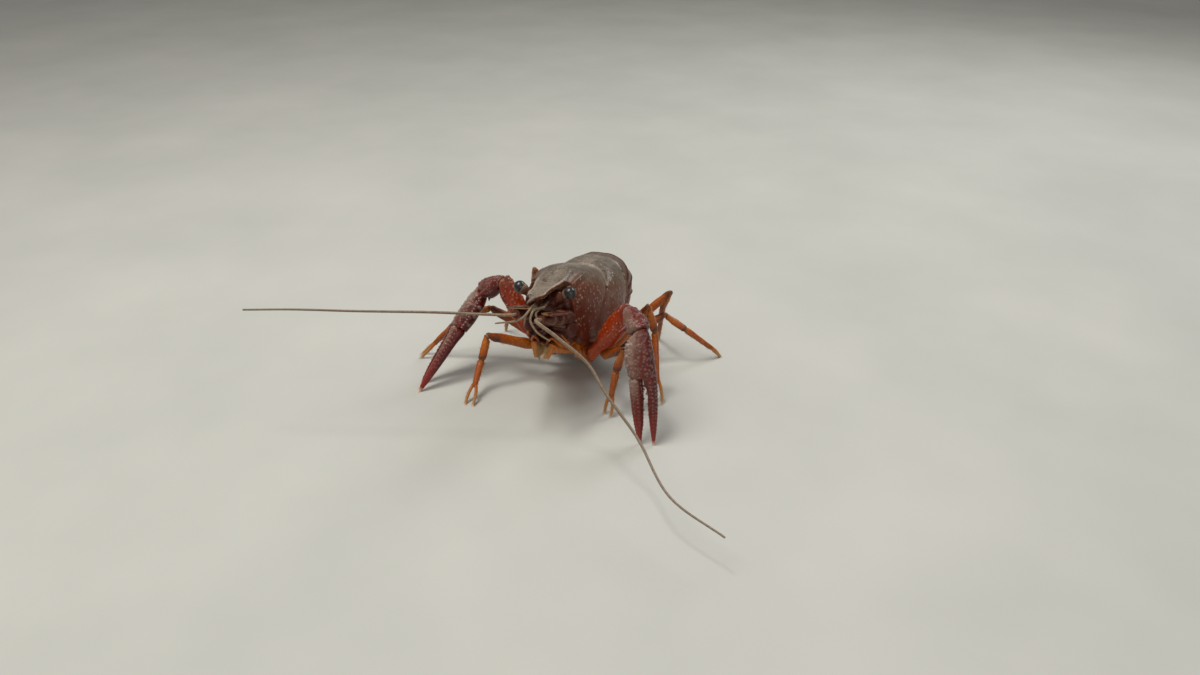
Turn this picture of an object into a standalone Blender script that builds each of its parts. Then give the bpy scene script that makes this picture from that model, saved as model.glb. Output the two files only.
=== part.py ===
"""Red swamp crayfish, a still, life-size museum model that stands on its legs with the tail tucked under.

The animal faces -Y, its left side is +X and the floor is z = 0. Sizes are in millimetres, and MM turns
them into metres when a mesh is made. The body has a frame of its own: x to its left, y to its tail and
z up, with the origin between the eye sockets. Each limb is a chain of lengths and directions.
"""

import math
import random

import bmesh
import bpy
import numpy as np

MM = 0.001
GAP = 0.3  # clear space between neighbouring pieces
LEFT, RIGHT = 1, -1
SIDES = {"left": LEFT, "right": RIGHT}

# Stance of the body in the world
BODY_HEIGHT = 18.0
BODY_PITCH = 15.0
BODY_ROLL = 3.0
BODY_PIVOT = np.array([0.0, 15.0, 0.0])
SHIFT = np.array([3.15, 13.67, 0.0])  # brings the middle of the whole outline over the origin

# Carapace: each pair is (distance behind the eye sockets, size), or (angle from the top, distance)
HALF_WIDTH = [(-2, 4.4), (0, 5.1), (4, 6.5), (9, 7.4), (15, 7.9), (20, 8.1), (25, 7.5), (30, 6.6)]
TOP = [(-2, 5.5), (0, 6.4), (5, 7.8), (11, 7.6), (16, 6.5), (20, 7.3), (24, 7.5), (29, 6.3)]
LOWER_EDGE = [(-2, -5.2), (0, -5.6), (6, -7.8), (13, -8.8), (19, -8.6), (25, -7.3), (31, -4.8)]
WIDEST_LEVEL = [(-2, -0.4), (15, -1.4), (31, -0.6)]
EDGE_ANGLE = 128.0  # from the top round to the lower edge
TUCK = 0.26  # how far the side turns in above the lower edge
FRONT_MARGIN = [(0, -0.4), (22, 0.2), (42, 1.2), (60, 0.2), (80, 0.1), (105, 1.5), (128, 4.8)]
REAR_MARGIN = [(0, 25.2), (45, 25.2), (90, 25.2), (128, 24.2)]
CERVICAL_GROOVE = [(0, 17.6), (30, 16.9), (60, 14.0), (90, 9.5), (128, 5.0)]
GROOVE_DEPTH = 0.55
GROOVE_HALF_WIDTH = 1.0
GROOVE_END = 112.0  # angle at which the groove has faded out on the side
CARAPACE_RINGS = 24
SIDE_POINTS = 12
# Shell spines on each side: (distance behind the eyes, angle, height, radius, how far the tip leans ahead)
CERVICAL_SPINES = [(14.2, 62, 1.0, 0.55, 0.7), (8.4, 82, 0.6, 0.42, 0.3)]
SIDE_TUBERCLES = 22
TUBERCLE_FIELD = ((2.5, 24.5), (56, 116))  # where they lie: distance behind the eyes, and angle
TUBERCLE_HEIGHT, TUBERCLE_RADIUS = (0.2, 0.32), (0.26, 0.36)
TUBERCLE_APART = 1.7
TUBERCLE_SEED = 7
STUD_SINK = 0.7  # how deep a stud's root lies in the shell
# Ridge behind each eye: (distance behind the eyes, angle, rise of its middle line, radius)
RIDGE = ((8.5, 34, -0.9, 0.4), (5.0, 38, -0.35, 0.5), (2.4, 42, -0.2, 0.5), (0.6, 45, 0.1, 0.16))

# Rostrum, by distance ahead of the eye sockets
ROSTRUM_HALF_WIDTH = [(-6, 2.3), (-3, 2.9), (0, 2.9), (4, 1.9), (7.0, 1.35), (7.6, 0.75), (10, 0.15)]
ROSTRUM_LEVEL = [(-6, 5.4), (-3, 6.0), (0, 5.5), (5, 4.3), (10, 3.1)]
ROSTRUM_THICK = [(-6, 1.6), (0, 1.3), (7, 0.8), (10, 0.3)]
ROSTRUM_STATIONS = (-6, -3, 0, 2.5, 5, 7.0, 7.6, 9.0, 10)
# One half of the rostrum's section, as shares of its half width and thickness: raised margins, hollow middle
ROSTRUM_SECTION = [(0.0, -0.1), (0.55, 0.0), (0.84, 0.42), (1.0, 0.0), (0.7, -0.6)]

# Belly, with the leg sockets as (out, behind the eyes, level) of the outer face, and their radii
SOCKETS = {
    1: (5.6, 9.6, -10.8),
    2: (6.0, 13.6, -10.4),
    3: (6.1, 17.0, -10.4),
    4: (5.9, 20.2, -10.1),
    5: (5.4, 23.1, -9.5),
}
SOCKET_RADIUS = {1: 1.65, 2: 1.25, 3: 1.25, 4: 1.2, 5: 1.15}
SOCKET_ROOT = 2.2  # how far from the middle line a socket starts
BELLY_DEPTH = 2.6
BELLY_STATIONS = (6.8, 8.5, 11.5, 15.0, 19.0, 22.5, 24.4)

# Eyes and feelers
EYE_OUT, EYE_AHEAD, EYE_LEVEL = 5.3, 2.3, 4.3
EYE_ROOT = (2.4, -1.6, 2.6)
EYE_RADIUS = 1.25
STALK_SIZE = [(0, 0.8), (1, 1.05)]
FLAGELLUM_RADII = (0.38, 0.25)
# Ends of each long feeler's base
ANTENNA_BASE = (3.9, -0.9, -0.9)
ANTENNA_END = {"left": (2.6, -9.4, 0.2), "right": (-2.6, -9.4, 0.6)}
ANTENNA_SIZE = [(0, 1.3), (0.3, 1.35), (0.34, 1.1), (0.6, 1.15), (0.64, 0.85), (1, 0.8)]
# Scale over that base: (distance along it, inner edge, outer edge), and its height over the middle line
SCALE_EDGES = [(0.5, -0.3, 1.3), (2.5, -0.6, 2.0), (5.0, -0.5, 2.1), (7.0, 0.2, 2.0), (8.2, 1.3, 1.95)]
SCALE_EDGES += [(9.2, 1.75, 1.9)]
SCALE_LIFT = 1.0
# Bends of each whip after a straight start: (length, azimuth, elevation) of every stretch
WHIP_LEAD = 1.6
FLAGELLUM_BENDS = {
    "left": [(4.6, 84, -30), (8.7, 78, -28), (5.3, 54, -30), (10.3, 58, -26), (13.4, 46, -18)],
    "right": [(1.5, -60, 2), (2.8, -69, 2), (9.4, -72, 1), (16.0, -71, 0), (12.3, -72, 0)],
}
FLAGELLUM_LAST = {"left": (11.6, 65, -5), "right": (9.0, -72, -2)}

# Antennules: a short base under the rostrum with two thin branches
ANTENNULE_BASE = (0.75, -0.9, 2.1)
ANTENNULE_LENGTH = 3.9
ANTENNULE_SIZE = [(0, 0.6), (0.4, 0.66), (0.5, 0.55), (1, 0.55)]
BRANCH_RADII = (0.3, 0.25)
# (length, azimuth, elevation) of the stretches of each branch
BRANCHES = {
    ("left", "outer"): ((2.2, -30, 2), (2.0, -5, -44), (2.3, 66, -51), (3.3, 100, -36)),
    ("left", "inner"): ((2.2, -5, -10), (2.1, 60, -44)),
    ("right", "outer"): ((5.0, -8, -8), (4.6, -66, -8)),
    ("right", "inner"): ((2.9, -14, -10), (2.0, 5, -50)),
}
# Third maxillipeds: two broad upper joints reaching ahead, and a narrow lower end folded down
MAXILLIPED = ((2.3, 6.8, -9.3), (2.0, 0.8, -8.0), (1.8, -2.0, -7.1), (1.2, -2.9, -9.3))
# Half width and half depth of each of its parts at both ends
MAXILLIPED_SIZE = (((1.0, 1.3), (0.95, 0.85)), ((1.15, 0.95), (0.9, 0.75)), ((0.75, 0.3), (0.6, 0.28)))

# Walking legs: lengths of the upper part, the wrist, and the hand with its finger
LEG_LENGTHS = {2: (13.6, 5.2, 10.0), 3: (15.3, 6.1, 15.2), 4: (13.4, 5.6, 11.6), 5: (15.4, 5.6, 12.7)}
# (azimuth, elevation) of the upper part and of the wrist, and the azimuth of the hand
LEG_POSES = {
    (2, "left"): ((43, 26), (-104, -73), -21),
    (2, "right"): ((-49, 15), (-20, -66), 3),
    (3, "left"): ((79, 49), (138, -73), 27),
    (3, "right"): ((-83, 20), (-72, -15), -68),
    (4, "left"): ((131, 16), (98, -33), 119),
    (4, "right"): ((-106, 38), (-118, -45), -116),
    (5, "left"): ((117, 37), (-138, -57), -156),
    (5, "right"): ((-118, 41), (-148, -54), -170),
}

# Half sizes along a walking leg's parts, for a leg of size 1, and how far the upper part's middle sags
UPPER_WIDE = [(0, 0.95), (0.12, 0.85), (0.24, 0.8), (0.3, 0.95), (0.6, 1.0), (0.92, 0.8), (1, 0.72)]
UPPER_DEEP = [(0, 0.95), (0.12, 0.95), (0.24, 0.9), (0.3, 1.1), (0.6, 1.15), (0.92, 0.95), (1, 0.8)]
UPPER_SAG = [(0, 0.0), (0.18, 0.9), (0.4, 1.0), (0.7, 0.4), (1, 0.0)]
WRIST_SIZE = [(0, 0.66), (0.15, 0.72), (0.7, 0.84), (0.9, 0.8), (1, 0.68)]
HAND_SIZE = [(0, 0.64), (0.1, 0.72), (0.5, 0.66), (1, 0.52)]
FINGER_SHARE = {2: 0.40, 3: 0.30, 4: 0.29, 5: 0.27}
LEG_SIZE = {2: 1.0, 3: 1.0, 4: 0.92, 5: 0.88}
LEG_END = 0.26  # half width at the floor
SEGMENT_STATIONS = (0.0, 0.07, 0.3, 0.55, 0.8, 0.93, 1.0)

# Chelipeds: arm, wrist and claw lengths, their directions and the way the back of the claw faces
ARM_LENGTH, WRIST_LENGTH = 15.7, 7.1
CLAW_LENGTH = {"left": 22.5, "right": 24.8}
CHELIPED_POSES = {
    "left": ((75, 54), (38, -4), 36),
    "right": ((-101, 53), (-107, -30), -29),
}
CLAW_BACK = {"left": (15, 25), "right": (-70, 37)}
ARM_WIDE = [(0, 1.35), (0.1, 1.2), (0.24, 1.1), (0.32, 1.35), (0.8, 1.75), (0.95, 1.6), (1, 1.35)]
ARM_DEEP = [(0, 1.4), (0.1, 1.3), (0.24, 1.2), (0.32, 1.6), (0.8, 2.2), (0.95, 2.0), (1, 1.6)]
CARPUS_SIZE = [(0, 1.25), (0.2, 1.75), (0.55, 2.2), (0.85, 2.1), (1, 1.6)]
# Claw margins on either side of its axis, and its half depth, by share of the claw's length
LATERAL = [(0, 1.45), (0.08, 1.85), (0.2, 2.2), (0.4, 2.45), (0.6, 2.35), (0.8, 1.95), (0.94, 1.45), (1, 1.2)]
MESIAL = [(0, 1.45), (0.05, 2.3), (0.12, 3.0), (0.24, 3.25), (0.34, 3.05), (0.4, 2.75)]
CUT_EDGE = [(0.41, -0.2), (0.5, -0.45), (0.65, -0.42), (0.8, -0.5), (0.94, -0.7), (1, -0.78)]
FINGER_OUTER = [(0.40, 2.7), (0.46, 2.75), (0.6, 2.7), (0.8, 2.45), (0.94, 2.05), (1, 1.85)]
FINGER_INNER = [(0.40, 0.25), (0.5, 0.2), (0.65, 0.35), (0.8, 0.65), (0.94, 1.15), (1, 1.35)]
CLAW_DEEP = [(0, 1.35), (0.08, 1.8), (0.22, 2.05), (0.38, 1.85), (0.5, 1.35), (0.7, 1.05)]
CLAW_DEEP += [(0.9, 0.65), (1, 0.3)]
PALM_STATIONS = (0.0, 0.04, 0.12, 0.22, 0.32, 0.39)
FINGER_START = 0.405
FINGER_STATIONS = (0.0, 0.06, 0.2, 0.36, 0.52, 0.68, 0.84, 0.94, 1.0)
MOVING_FLATNESS = 0.92  # depth of the moving finger against the fixed one
# Claw studs as (share of the length, place between the lateral and mesial margins from -1 to 1, how far
# to the dorsal side as an angle, height, radius)
MARGIN_ROW = [(0.1 + 0.044 * k, 1.0, (25, -20)[k % 2], 0.5, 0.42) for k in range(6)]
FINGER_ROW = [(0.46 + 0.065 * k, 1.0, 12, 0.34 - 0.03 * k, 0.34 - 0.02 * k) for k in range(5)]
FIXED_TEETH = [(0.47, 0.3, 0.34), (0.54, 0.42, 0.4), (0.63, 0.28, 0.3), (0.73, 0.22, 0.26)]
MOVING_TEETH = [(0.5, 0.34, 0.36), (0.585, 0.26, 0.3), (0.68, 0.22, 0.26)]
BACK_TUBERCLES = 9
ARM_SPINES = [(0.87, 70, 0.9, 0.5), (0.8, 118, 0.6, 0.42), (0.62, -40, 0.45, 0.36), (0.72, -58, 0.5, 0.38)]
ARM_SPINES += [(0.84, -50, 0.6, 0.42), (0.7, -132, 0.45, 0.36), (0.83, -124, 0.6, 0.4)]
CARPUS_SPINES = [(0.62, 0, 1.5, 0.85), (0.7, -58, 0.7, 0.5), (0.74, 52, 0.5, 0.42), (0.5, 36, 0.4, 0.36)]
CARPUS_SPINES += [(0.34, 18, 0.4, 0.34), (0.62, 84, 0.35, 0.34), (0.4, 66, 0.3, 0.32), (0.74, 118, 0.3, 0.32)]
CLAW_SINK, LIMB_SINK, TOOTH_SINK = 0.5, 0.6, 0.4

# Abdomen: dorsal length of each segment along the curl, and half widths at the joints
CURL_RADIUS = 10.6
CURL_START, CURL_STEPS = -8.0, (24.0, 30.0, 31.0, 31.0, 30.0, 30.0)
TAIL_HALF_WIDTH = (6.2, 6.5, 6.6, 6.4, 6.0, 5.5, 4.8)
AXIS_DEPTH = 4.0  # from the back of the abdomen down to the line its joints lie on
PLEURA = (0.6, 3.0, 3.1, 3.0, 2.8, 1.6)  # drop of each segment's side flap
# Back of a segment as shares of its half width and height, and its underside as (share, level)
TERGITE = [(0, 1.0), (0.25, 0.985), (0.5, 0.9), (0.72, 0.72), (0.88, 0.47), (0.97, 0.2)]
UNDERSIDE = [(1.0, -0.8), (0.95, -2.0), (0.86, None), (0.7, None), (0.62, -1.7), (0.3, -2.3)]
UNDERSIDE_MIDDLE = -2.4

# Tail fan
FAN_HEADING = -180.0
FAN_OFFSET = 2.7
# Half widths along the telson and along an inner or outer leaf
TELSON = [(0, 3.0), (0.1, 3.3), (0.55, 3.2), (0.62, 2.9), (0.85, 2.7), (0.97, 1.9), (1.0, 0.8)]
UROPOD = [(0, 0.9), (0.1, 1.1), (0.3, 1.8), (0.6, 2.25), (0.85, 2.1), (0.96, 1.4), (1.0, 0.6)]
# Side leaves: distance out from the middle, angle of spread, distance below the telson, and length
FAN = {"inner": (3.2, 20.0, 1.22, 7.6), "outer": (4.0, 42.0, 2.36, 7.9)}
FAN_LEAD = 0.9
FAN_STATIONS = (0, 0.08, 0.3, 0.55, 0.75, 0.9, 0.97, 1.0)
TELSON_LENGTH, TELSON_THICK, UROPOD_THICK = 7.4, 0.55, 0.42
# Upper face of a leaf, as shares of its half width and of its thickness, with a middle rib
LEAF_FACE = [(1.0, 0.35), (0.5, 0.8), (0.12, 1.0), (-0.12, 1.0), (-0.5, 0.8), (-1.0, 0.35)]


def curve_at(stations, t):
    """Smooth value at t through a few (place, value) stations."""
    places = np.array([s[0] for s in stations], float)
    values = np.array([s[1] for s in stations], float)
    slopes = np.gradient(values, places)
    t = np.clip(np.asarray(t, float), places[0], places[-1])
    i = np.clip(np.searchsorted(places, t) - 1, 0, len(places) - 2)
    width = places[i + 1] - places[i]
    u = (t - places[i]) / width
    first = values[i] * (1 + 2 * u) * (1 - u) ** 2 + slopes[i] * width * u * (1 - u) ** 2
    return first + values[i + 1] * u * u * (3 - 2 * u) + slopes[i + 1] * width * u * u * (u - 1)


def unit(vector):
    vector = np.asarray(vector, float)
    return vector / np.linalg.norm(vector)


def direction(azimuth, elevation):
    """Unit vector: azimuth 0 is ahead of the animal, 90 is its left, and elevation is above the floor."""
    a, e = math.radians(azimuth), math.radians(elevation)
    return np.array([math.sin(a) * math.cos(e), -math.cos(a) * math.cos(e), math.sin(e)])


def body_axes():
    """Rows are the body's left, back and up directions in the world."""
    p, r = math.radians(BODY_PITCH), math.radians(BODY_ROLL)
    pitch = np.array([[1, 0, 0], [0, math.cos(p), -math.sin(p)], [0, math.sin(p), math.cos(p)]])
    roll = np.array([[math.cos(r), 0, math.sin(r)], [0, 1, 0], [-math.sin(r), 0, math.cos(r)]])
    return pitch @ roll


AXES = body_axes()


def to_world(points):
    """Body millimetres to world millimetres, before the final shift."""
    return (np.asarray(points, float) - BODY_PIVOT) @ AXES + np.array([0, 0, BODY_HEIGHT])


def turned(vector):
    """A body direction in the world."""
    return np.asarray(vector, float) @ AXES


def mirror_side(point, side):
    return np.asarray(point, float) * np.array([side, 1, 1])


# Scene, materials and mesh making
def clear_scene():
    for obj in list(bpy.data.objects):
        bpy.data.objects.remove(obj, do_unlink=True)


def new_collection(name):
    made = bpy.data.collections.new(name)
    bpy.context.scene.collection.children.link(made)
    return made


def material(name, colour, roughness, metallic=0.0):
    made = bpy.data.materials.new(name)
    made.use_nodes = True
    shader = made.node_tree.nodes["Principled BSDF"]
    shader.inputs["Base Color"].default_value = (*colour, 1)
    shader.inputs["Roughness"].default_value = roughness
    shader.inputs["Metallic"].default_value = metallic
    return made


def finish_mesh(name, work, skin, home):
    mesh = bpy.data.meshes.new(name)
    bmesh.ops.triangulate(work, faces=work.faces[:])
    bmesh.ops.recalc_face_normals(work, faces=work.faces[:])
    if work.calc_volume(signed=True) < 0:
        bmesh.ops.reverse_faces(work, faces=work.faces[:])
    work.to_mesh(mesh)
    work.free()
    mesh.materials.append(skin)
    mesh.shade_smooth()
    mesh.set_sharp_from_angle(angle=math.radians(45))
    obj = bpy.data.objects.new(name, mesh)
    home.objects.link(obj)
    return obj


def mesh_object(name, shape, skin, home):
    """Closed mesh object from a shape, which is (points in world millimetres, faces)."""
    points, faces = shape
    work = bmesh.new()
    corners = [work.verts.new((np.asarray(p) + SHIFT) * MM) for p in points]
    for face in faces:
        work.faces.new([corners[i] for i in face])
    return finish_mesh(name, work, skin, home)


def loft(rings, start_centre=None, end_centre=None):
    """Closed shape through rings of like length, capped by fans."""
    rings = [np.asarray(r, float) for r in rings]
    count = len(rings[0])
    points = list(np.concatenate(rings))
    faces = []
    for r in range(len(rings) - 1):
        for i in range(count):
            j = (i + 1) % count
            a, b = r * count, (r + 1) * count
            faces.append((a + i, a + j, b + j, b + i))
    points.append(np.mean(rings[0], axis=0) if start_centre is None else np.asarray(start_centre))
    points.append(np.mean(rings[-1], axis=0) if end_centre is None else np.asarray(end_centre))
    last = (len(rings) - 1) * count
    for i in range(count):
        j = (i + 1) % count
        faces.append((len(points) - 2, j, i))
        faces.append((len(points) - 1, last + i, last + j))
    return np.array(points), faces


def keep_largest(mesh):
    """Drop every surface but the one with the most points, and triangulate."""
    work = bmesh.new()
    work.from_mesh(mesh)
    left = set(work.verts)
    surfaces = []
    while left:
        stack = [left.pop()]
        found = set(stack)
        while stack:
            for edge in stack.pop().link_edges:
                for vert in edge.verts:
                    if vert in left:
                        left.remove(vert)
                        found.add(vert)
                        stack.append(vert)
        surfaces.append(found)
    surfaces.sort(key=len)
    for scrap in surfaces[:-1]:
        bmesh.ops.delete(work, geom=list(scrap), context="VERTS")
    bmesh.ops.triangulate(work, faces=work.faces[:])
    work.to_mesh(mesh)
    work.free()


def fuse(base, pieces, home):
    """Unite the pieces with the base and keep the largest closed surface."""
    if not pieces:
        return base
    extras = bpy.data.collections.new("fusing")
    bpy.context.scene.collection.children.link(extras)
    for piece in pieces:
        home.objects.unlink(piece)
        extras.objects.link(piece)
    union = base.modifiers.new("union", "BOOLEAN")
    union.operation = "UNION"
    union.operand_type = "COLLECTION"
    union.collection = extras
    union.solver = "MANIFOLD"
    bpy.context.view_layer.update()
    graph = bpy.context.evaluated_depsgraph_get()
    joined = bpy.data.meshes.new_from_object(base.evaluated_get(graph))
    base.modifiers.clear()
    base.data = joined
    for piece in pieces:
        bpy.data.objects.remove(piece, do_unlink=True)
    bpy.data.collections.remove(extras)
    keep_largest(joined)
    joined.shade_smooth()
    joined.set_sharp_from_angle(angle=math.radians(45))
    return base


def sphere(name, centre, radius, skin, home, around=12, up=8):
    work = bmesh.new()
    bmesh.ops.create_uvsphere(work, u_segments=around, v_segments=up, radius=radius * MM)
    bmesh.ops.translate(work, verts=work.verts[:], vec=(np.asarray(centre) + SHIFT) * MM)
    return finish_mesh(name, work, skin, home)


def spine(root, tip, radius, sides=4):
    """Spine or tubercle: a tapering, blunt-tipped cone from a sunk root to its tip."""
    root, tip = np.asarray(root, float), np.asarray(tip, float)
    axis = tip - root
    side, up = cross_axes(unit(axis), (0.31, 0.22, 0.92))
    rings = []
    for along, width in ((0.0, 1.0), (0.78, 0.5)):
        ring = oval(sides, radius * width, radius * width, 2.0)
        rings.append(root + axis * along + ring[:, :1] * side + ring[:, 1:2] * up)
    return loft(rings, root, tip)


def spindle(points, radii, sides=5):
    """Round shape of varying radius along a line of points."""
    rings = []
    for k, (point, radius) in enumerate(zip(points, radii)):
        axis = points[min(k + 1, len(points) - 1)] - points[max(k - 1, 0)]
        side, up = cross_axes(unit(axis), (0.31, 0.22, 0.92))
        ring = oval(sides, radius, radius, 2.0)
        rings.append(point + ring[:, :1] * side + ring[:, 1:2] * up)
    return loft(rings)


# Limb geometry
def cross_axes(axis, hint):
    side = unit(np.cross(axis, hint))
    return side, np.cross(side, axis)


def oval(count, half_wide, half_deep, power=2.3):
    """Ring offsets of a superellipse, as (side, up) pairs."""
    angles = 2 * np.pi * (np.arange(count) + 0.5) / count
    c, s = np.cos(angles), np.sin(angles)
    wide = half_wide * np.sign(c) * np.abs(c) ** (2 / power)
    deep = half_deep * np.sign(s) * np.abs(s) ** (2 / power)
    return np.stack([wide, deep], axis=1)


def mitred(start, end, start_normal, end_normal, hint, section, stations, trims=(GAP / 2, GAP / 2)):
    """Rings from one joint plane to the next: every long line runs from plane to plane at its own offset."""
    length = np.linalg.norm(end - start)
    axis = (end - start) / length
    side, up = cross_axes(axis, hint)
    made = []
    for t in stations:
        offsets = section(t)
        across = offsets[:, :1] * side + offsets[:, 1:2] * up
        first = (trims[0] - across @ start_normal) / (axis @ start_normal)
        last = length + (-trims[1] - across @ end_normal) / (axis @ end_normal)
        along = first + (last - first) * t
        made.append(start + across + along[:, None] * axis)
    return made


def joint_normals(points, first, last):
    """Plane normals along a chain of points, each half way between the segments that meet there."""
    steps = [unit(b - a) for a, b in zip(points, points[1:])]
    inner = [unit(before + after) for before, after in zip(steps, steps[1:])]
    return [unit(first)] + inner + [unit(last)]


def tapered(widths, depths, sides=10, power=2.2, sag=None):
    """Section function of a limb part from (fraction, half size) stations, its middle line lowered by sag."""

    def section(t):
        low = curve_at(sag, t) if sag else 0.0
        return oval(sides, curve_at(widths, t), curve_at(depths, t), power) - np.array([0.0, low])

    return section


# Carapace, rostrum and belly
def carapace_point(y, angle):
    """Body point on the shell at a distance behind the eyes and an angle from the top, left side."""
    wide, top = curve_at(HALF_WIDTH, y), curve_at(TOP, y)
    level, low = curve_at(WIDEST_LEVEL, y), curve_at(LOWER_EDGE, y)
    if angle <= 90:
        a = math.radians(angle)
        x = wide * math.sin(a) ** 0.85
        z = level + (top - level) * math.cos(a) ** 0.8
    else:
        fall = (angle - 90) / (EDGE_ANGLE - 90)
        x = wide * (1 - TUCK * fall**2)
        z = level + (low - level) * fall**0.9
    groove = curve_at(CERVICAL_GROOVE, angle)
    fade = min(1.0, max(0.0, (GROOVE_END - angle) / 30))
    dent = GROOVE_DEPTH * fade * math.exp(-(((y - groove) / GROOVE_HALF_WIDTH) ** 2))
    point = np.array([x, y, z])
    return point - dent * unit(point - np.array([0, y, level]))


def carapace_ring(t):
    """Ring of the shell at a fraction t of the way from its front margin to its rear one."""
    left = []
    for k in range(SIDE_POINTS + 1):
        angle = EDGE_ANGLE * k / SIDE_POINTS
        front, rear = curve_at(FRONT_MARGIN, angle), curve_at(REAR_MARGIN, angle)
        left.append(carapace_point(front + (rear - front) * t, angle))
    under = [under_point(left[-1], share) for share in (0.66, 0.33)]
    half = left + under
    return half + [under_point(left[-1], 0.0)] + [mirror_side(p, RIGHT) for p in half[:0:-1]]


def under_point(edge, share):
    """Point of the shell's underside at a share of the way from the middle line to its lower edge."""
    return np.array([edge[0] * share, edge[1], edge[2] + 0.5 * (1 - share)])


def make_rostrum(skin, home):
    rings = []
    for ahead in ROSTRUM_STATIONS:
        wide, thick = curve_at(ROSTRUM_HALF_WIDTH, ahead), curve_at(ROSTRUM_THICK, ahead)
        level = curve_at(ROSTRUM_LEVEL, ahead)
        section = [(x * wide, z * thick) for x, z in ROSTRUM_SECTION]
        section += [(0.0, -thick)] + [(-x, z) for x, z in section[:0:-1]]
        rings.append(to_world([(x, -ahead, level + z) for x, z in section]))
    return mesh_object("rostrum_piece", loft(rings), skin, home)


def shell_normal(y, angle):
    """Outward body direction of the shell at a point, left side."""
    along = carapace_point(y + 0.2, angle) - carapace_point(y - 0.2, angle)
    around = carapace_point(y, angle + 1) - carapace_point(y, max(angle - 1, 0))
    return unit(np.cross(around, along))


def shell_studs(skin, home):
    """Spines by the groove and small tubercles on both sides of the shell, sunk into it."""
    chance = random.Random(TUBERCLE_SEED)
    studs = list(CERVICAL_SPINES)
    millimetres_a_degree = math.radians(1.0) * curve_at(HALF_WIDTH, 15)
    while len(studs) < SIDE_TUBERCLES + len(CERVICAL_SPINES):
        y, angle = (chance.uniform(*field) for field in TUBERCLE_FIELD)
        clear = abs(y - curve_at(CERVICAL_GROOVE, angle)) > TUBERCLE_APART
        steps = [(y - a, (angle - b) * millimetres_a_degree) for a, b, *_ in studs]
        if clear and all(math.hypot(*step) > TUBERCLE_APART for step in steps):
            studs.append((y, angle, chance.uniform(*TUBERCLE_HEIGHT), chance.uniform(*TUBERCLE_RADIUS), 0.1))
    pieces = []
    for side in (LEFT, RIGHT):
        for y, angle, height, radius, lean in studs:
            point, normal = carapace_point(y, angle), shell_normal(y, angle)
            root, tip = point - STUD_SINK * normal, point + height * normal - np.array([0, lean, 0])
            ends = to_world([mirror_side(root, side), mirror_side(tip, side)])
            pieces.append(mesh_object("stud", spine(*ends, radius), skin, home))
        ridge = [carapace_point(y, angle) + rise * shell_normal(y, angle) for y, angle, rise, _ in RIDGE]
        ends = to_world([mirror_side(p, side) for p in ridge])
        pieces.append(mesh_object("ridge", spindle(ends, [r for *_, r in RIDGE]), skin, home))
    return pieces


def make_carapace(skin, home):
    rings = [to_world(carapace_ring(t)) for t in np.linspace(0, 1, CARAPACE_RINGS)]
    front, rear = to_world([(0, 0.1, -1.0), (0, 25.4, 0.5)])
    shell = mesh_object("carapace", loft(rings, front, rear), skin, home)
    pieces = [make_rostrum(skin, home)] + shell_studs(skin, home)
    return fuse(shell, pieces, home)


def make_belly(skin, home):
    rings = []
    for y in BELLY_STATIONS:
        edge = np.array([carapace_point(y, EDGE_ANGLE)[0], y, curve_at(LOWER_EDGE, y)])
        half = [under_point(edge, share) - np.array([0, 0, GAP]) for share in (0.0, 0.4, 0.75)]
        half += [np.array([3.6, y, edge[2] - 0.7 * BELLY_DEPTH]), np.array([1.4, y, edge[2] - BELLY_DEPTH])]
        rings.append(to_world(half + [mirror_side(p, RIGHT) for p in half[:0:-1]]))
    body = mesh_object("belly", loft(rings), skin, home)
    pieces = []
    for number, (out, behind, level) in SOCKETS.items():
        for side in (LEFT, RIGHT):
            outer, inner = to_world([(side * out, behind, level), (side * SOCKET_ROOT, behind, level + 0.3)])
            radius = [(0, 0.85 * SOCKET_RADIUS[number]), (1, SOCKET_RADIUS[number])]
            section = tapered(radius, radius, sides=8)
            normal = socket_normal(number, side)
            rings = mitred(inner, outer, unit(outer - inner), normal, (0, 0, 1), section, (0, 0.6, 1))
            pieces.append(mesh_object("socket", loft(rings), skin, home))
    return fuse(body, pieces, home)


def socket_point(number, side):
    out, behind, level = SOCKETS[number]
    return to_world([(side * out, behind, level)])[0]


def socket_normal(number, side):
    """Normal of the joint plane where a leg leaves its socket, half way between socket and leg."""
    name = "left" if side == LEFT else "right"
    pose = CHELIPED_POSES[name] if number == 1 else LEG_POSES[(number, name)]
    return unit(turned((side, 0, -0.08)) + direction(*pose[0]))


# Eyes and feelers
def make_eyes(skin, home):
    for name, side in SIDES.items():
        ball, root = to_world([(side * EYE_OUT, -EYE_AHEAD, EYE_LEVEL), mirror_side(EYE_ROOT, side)])
        axis = unit(ball - root)
        section = tapered(STALK_SIZE, STALK_SIZE, sides=8, power=2.0)
        stalk = loft(mitred(root, ball - 0.2 * axis, axis, axis, (0, 0, 1), section, (0, 0.5, 1)))
        eye = sphere("eye_" + name, ball, EYE_RADIUS, skin, home)
        fuse(eye, [mesh_object("stalk", stalk, skin, home)], home)


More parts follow.
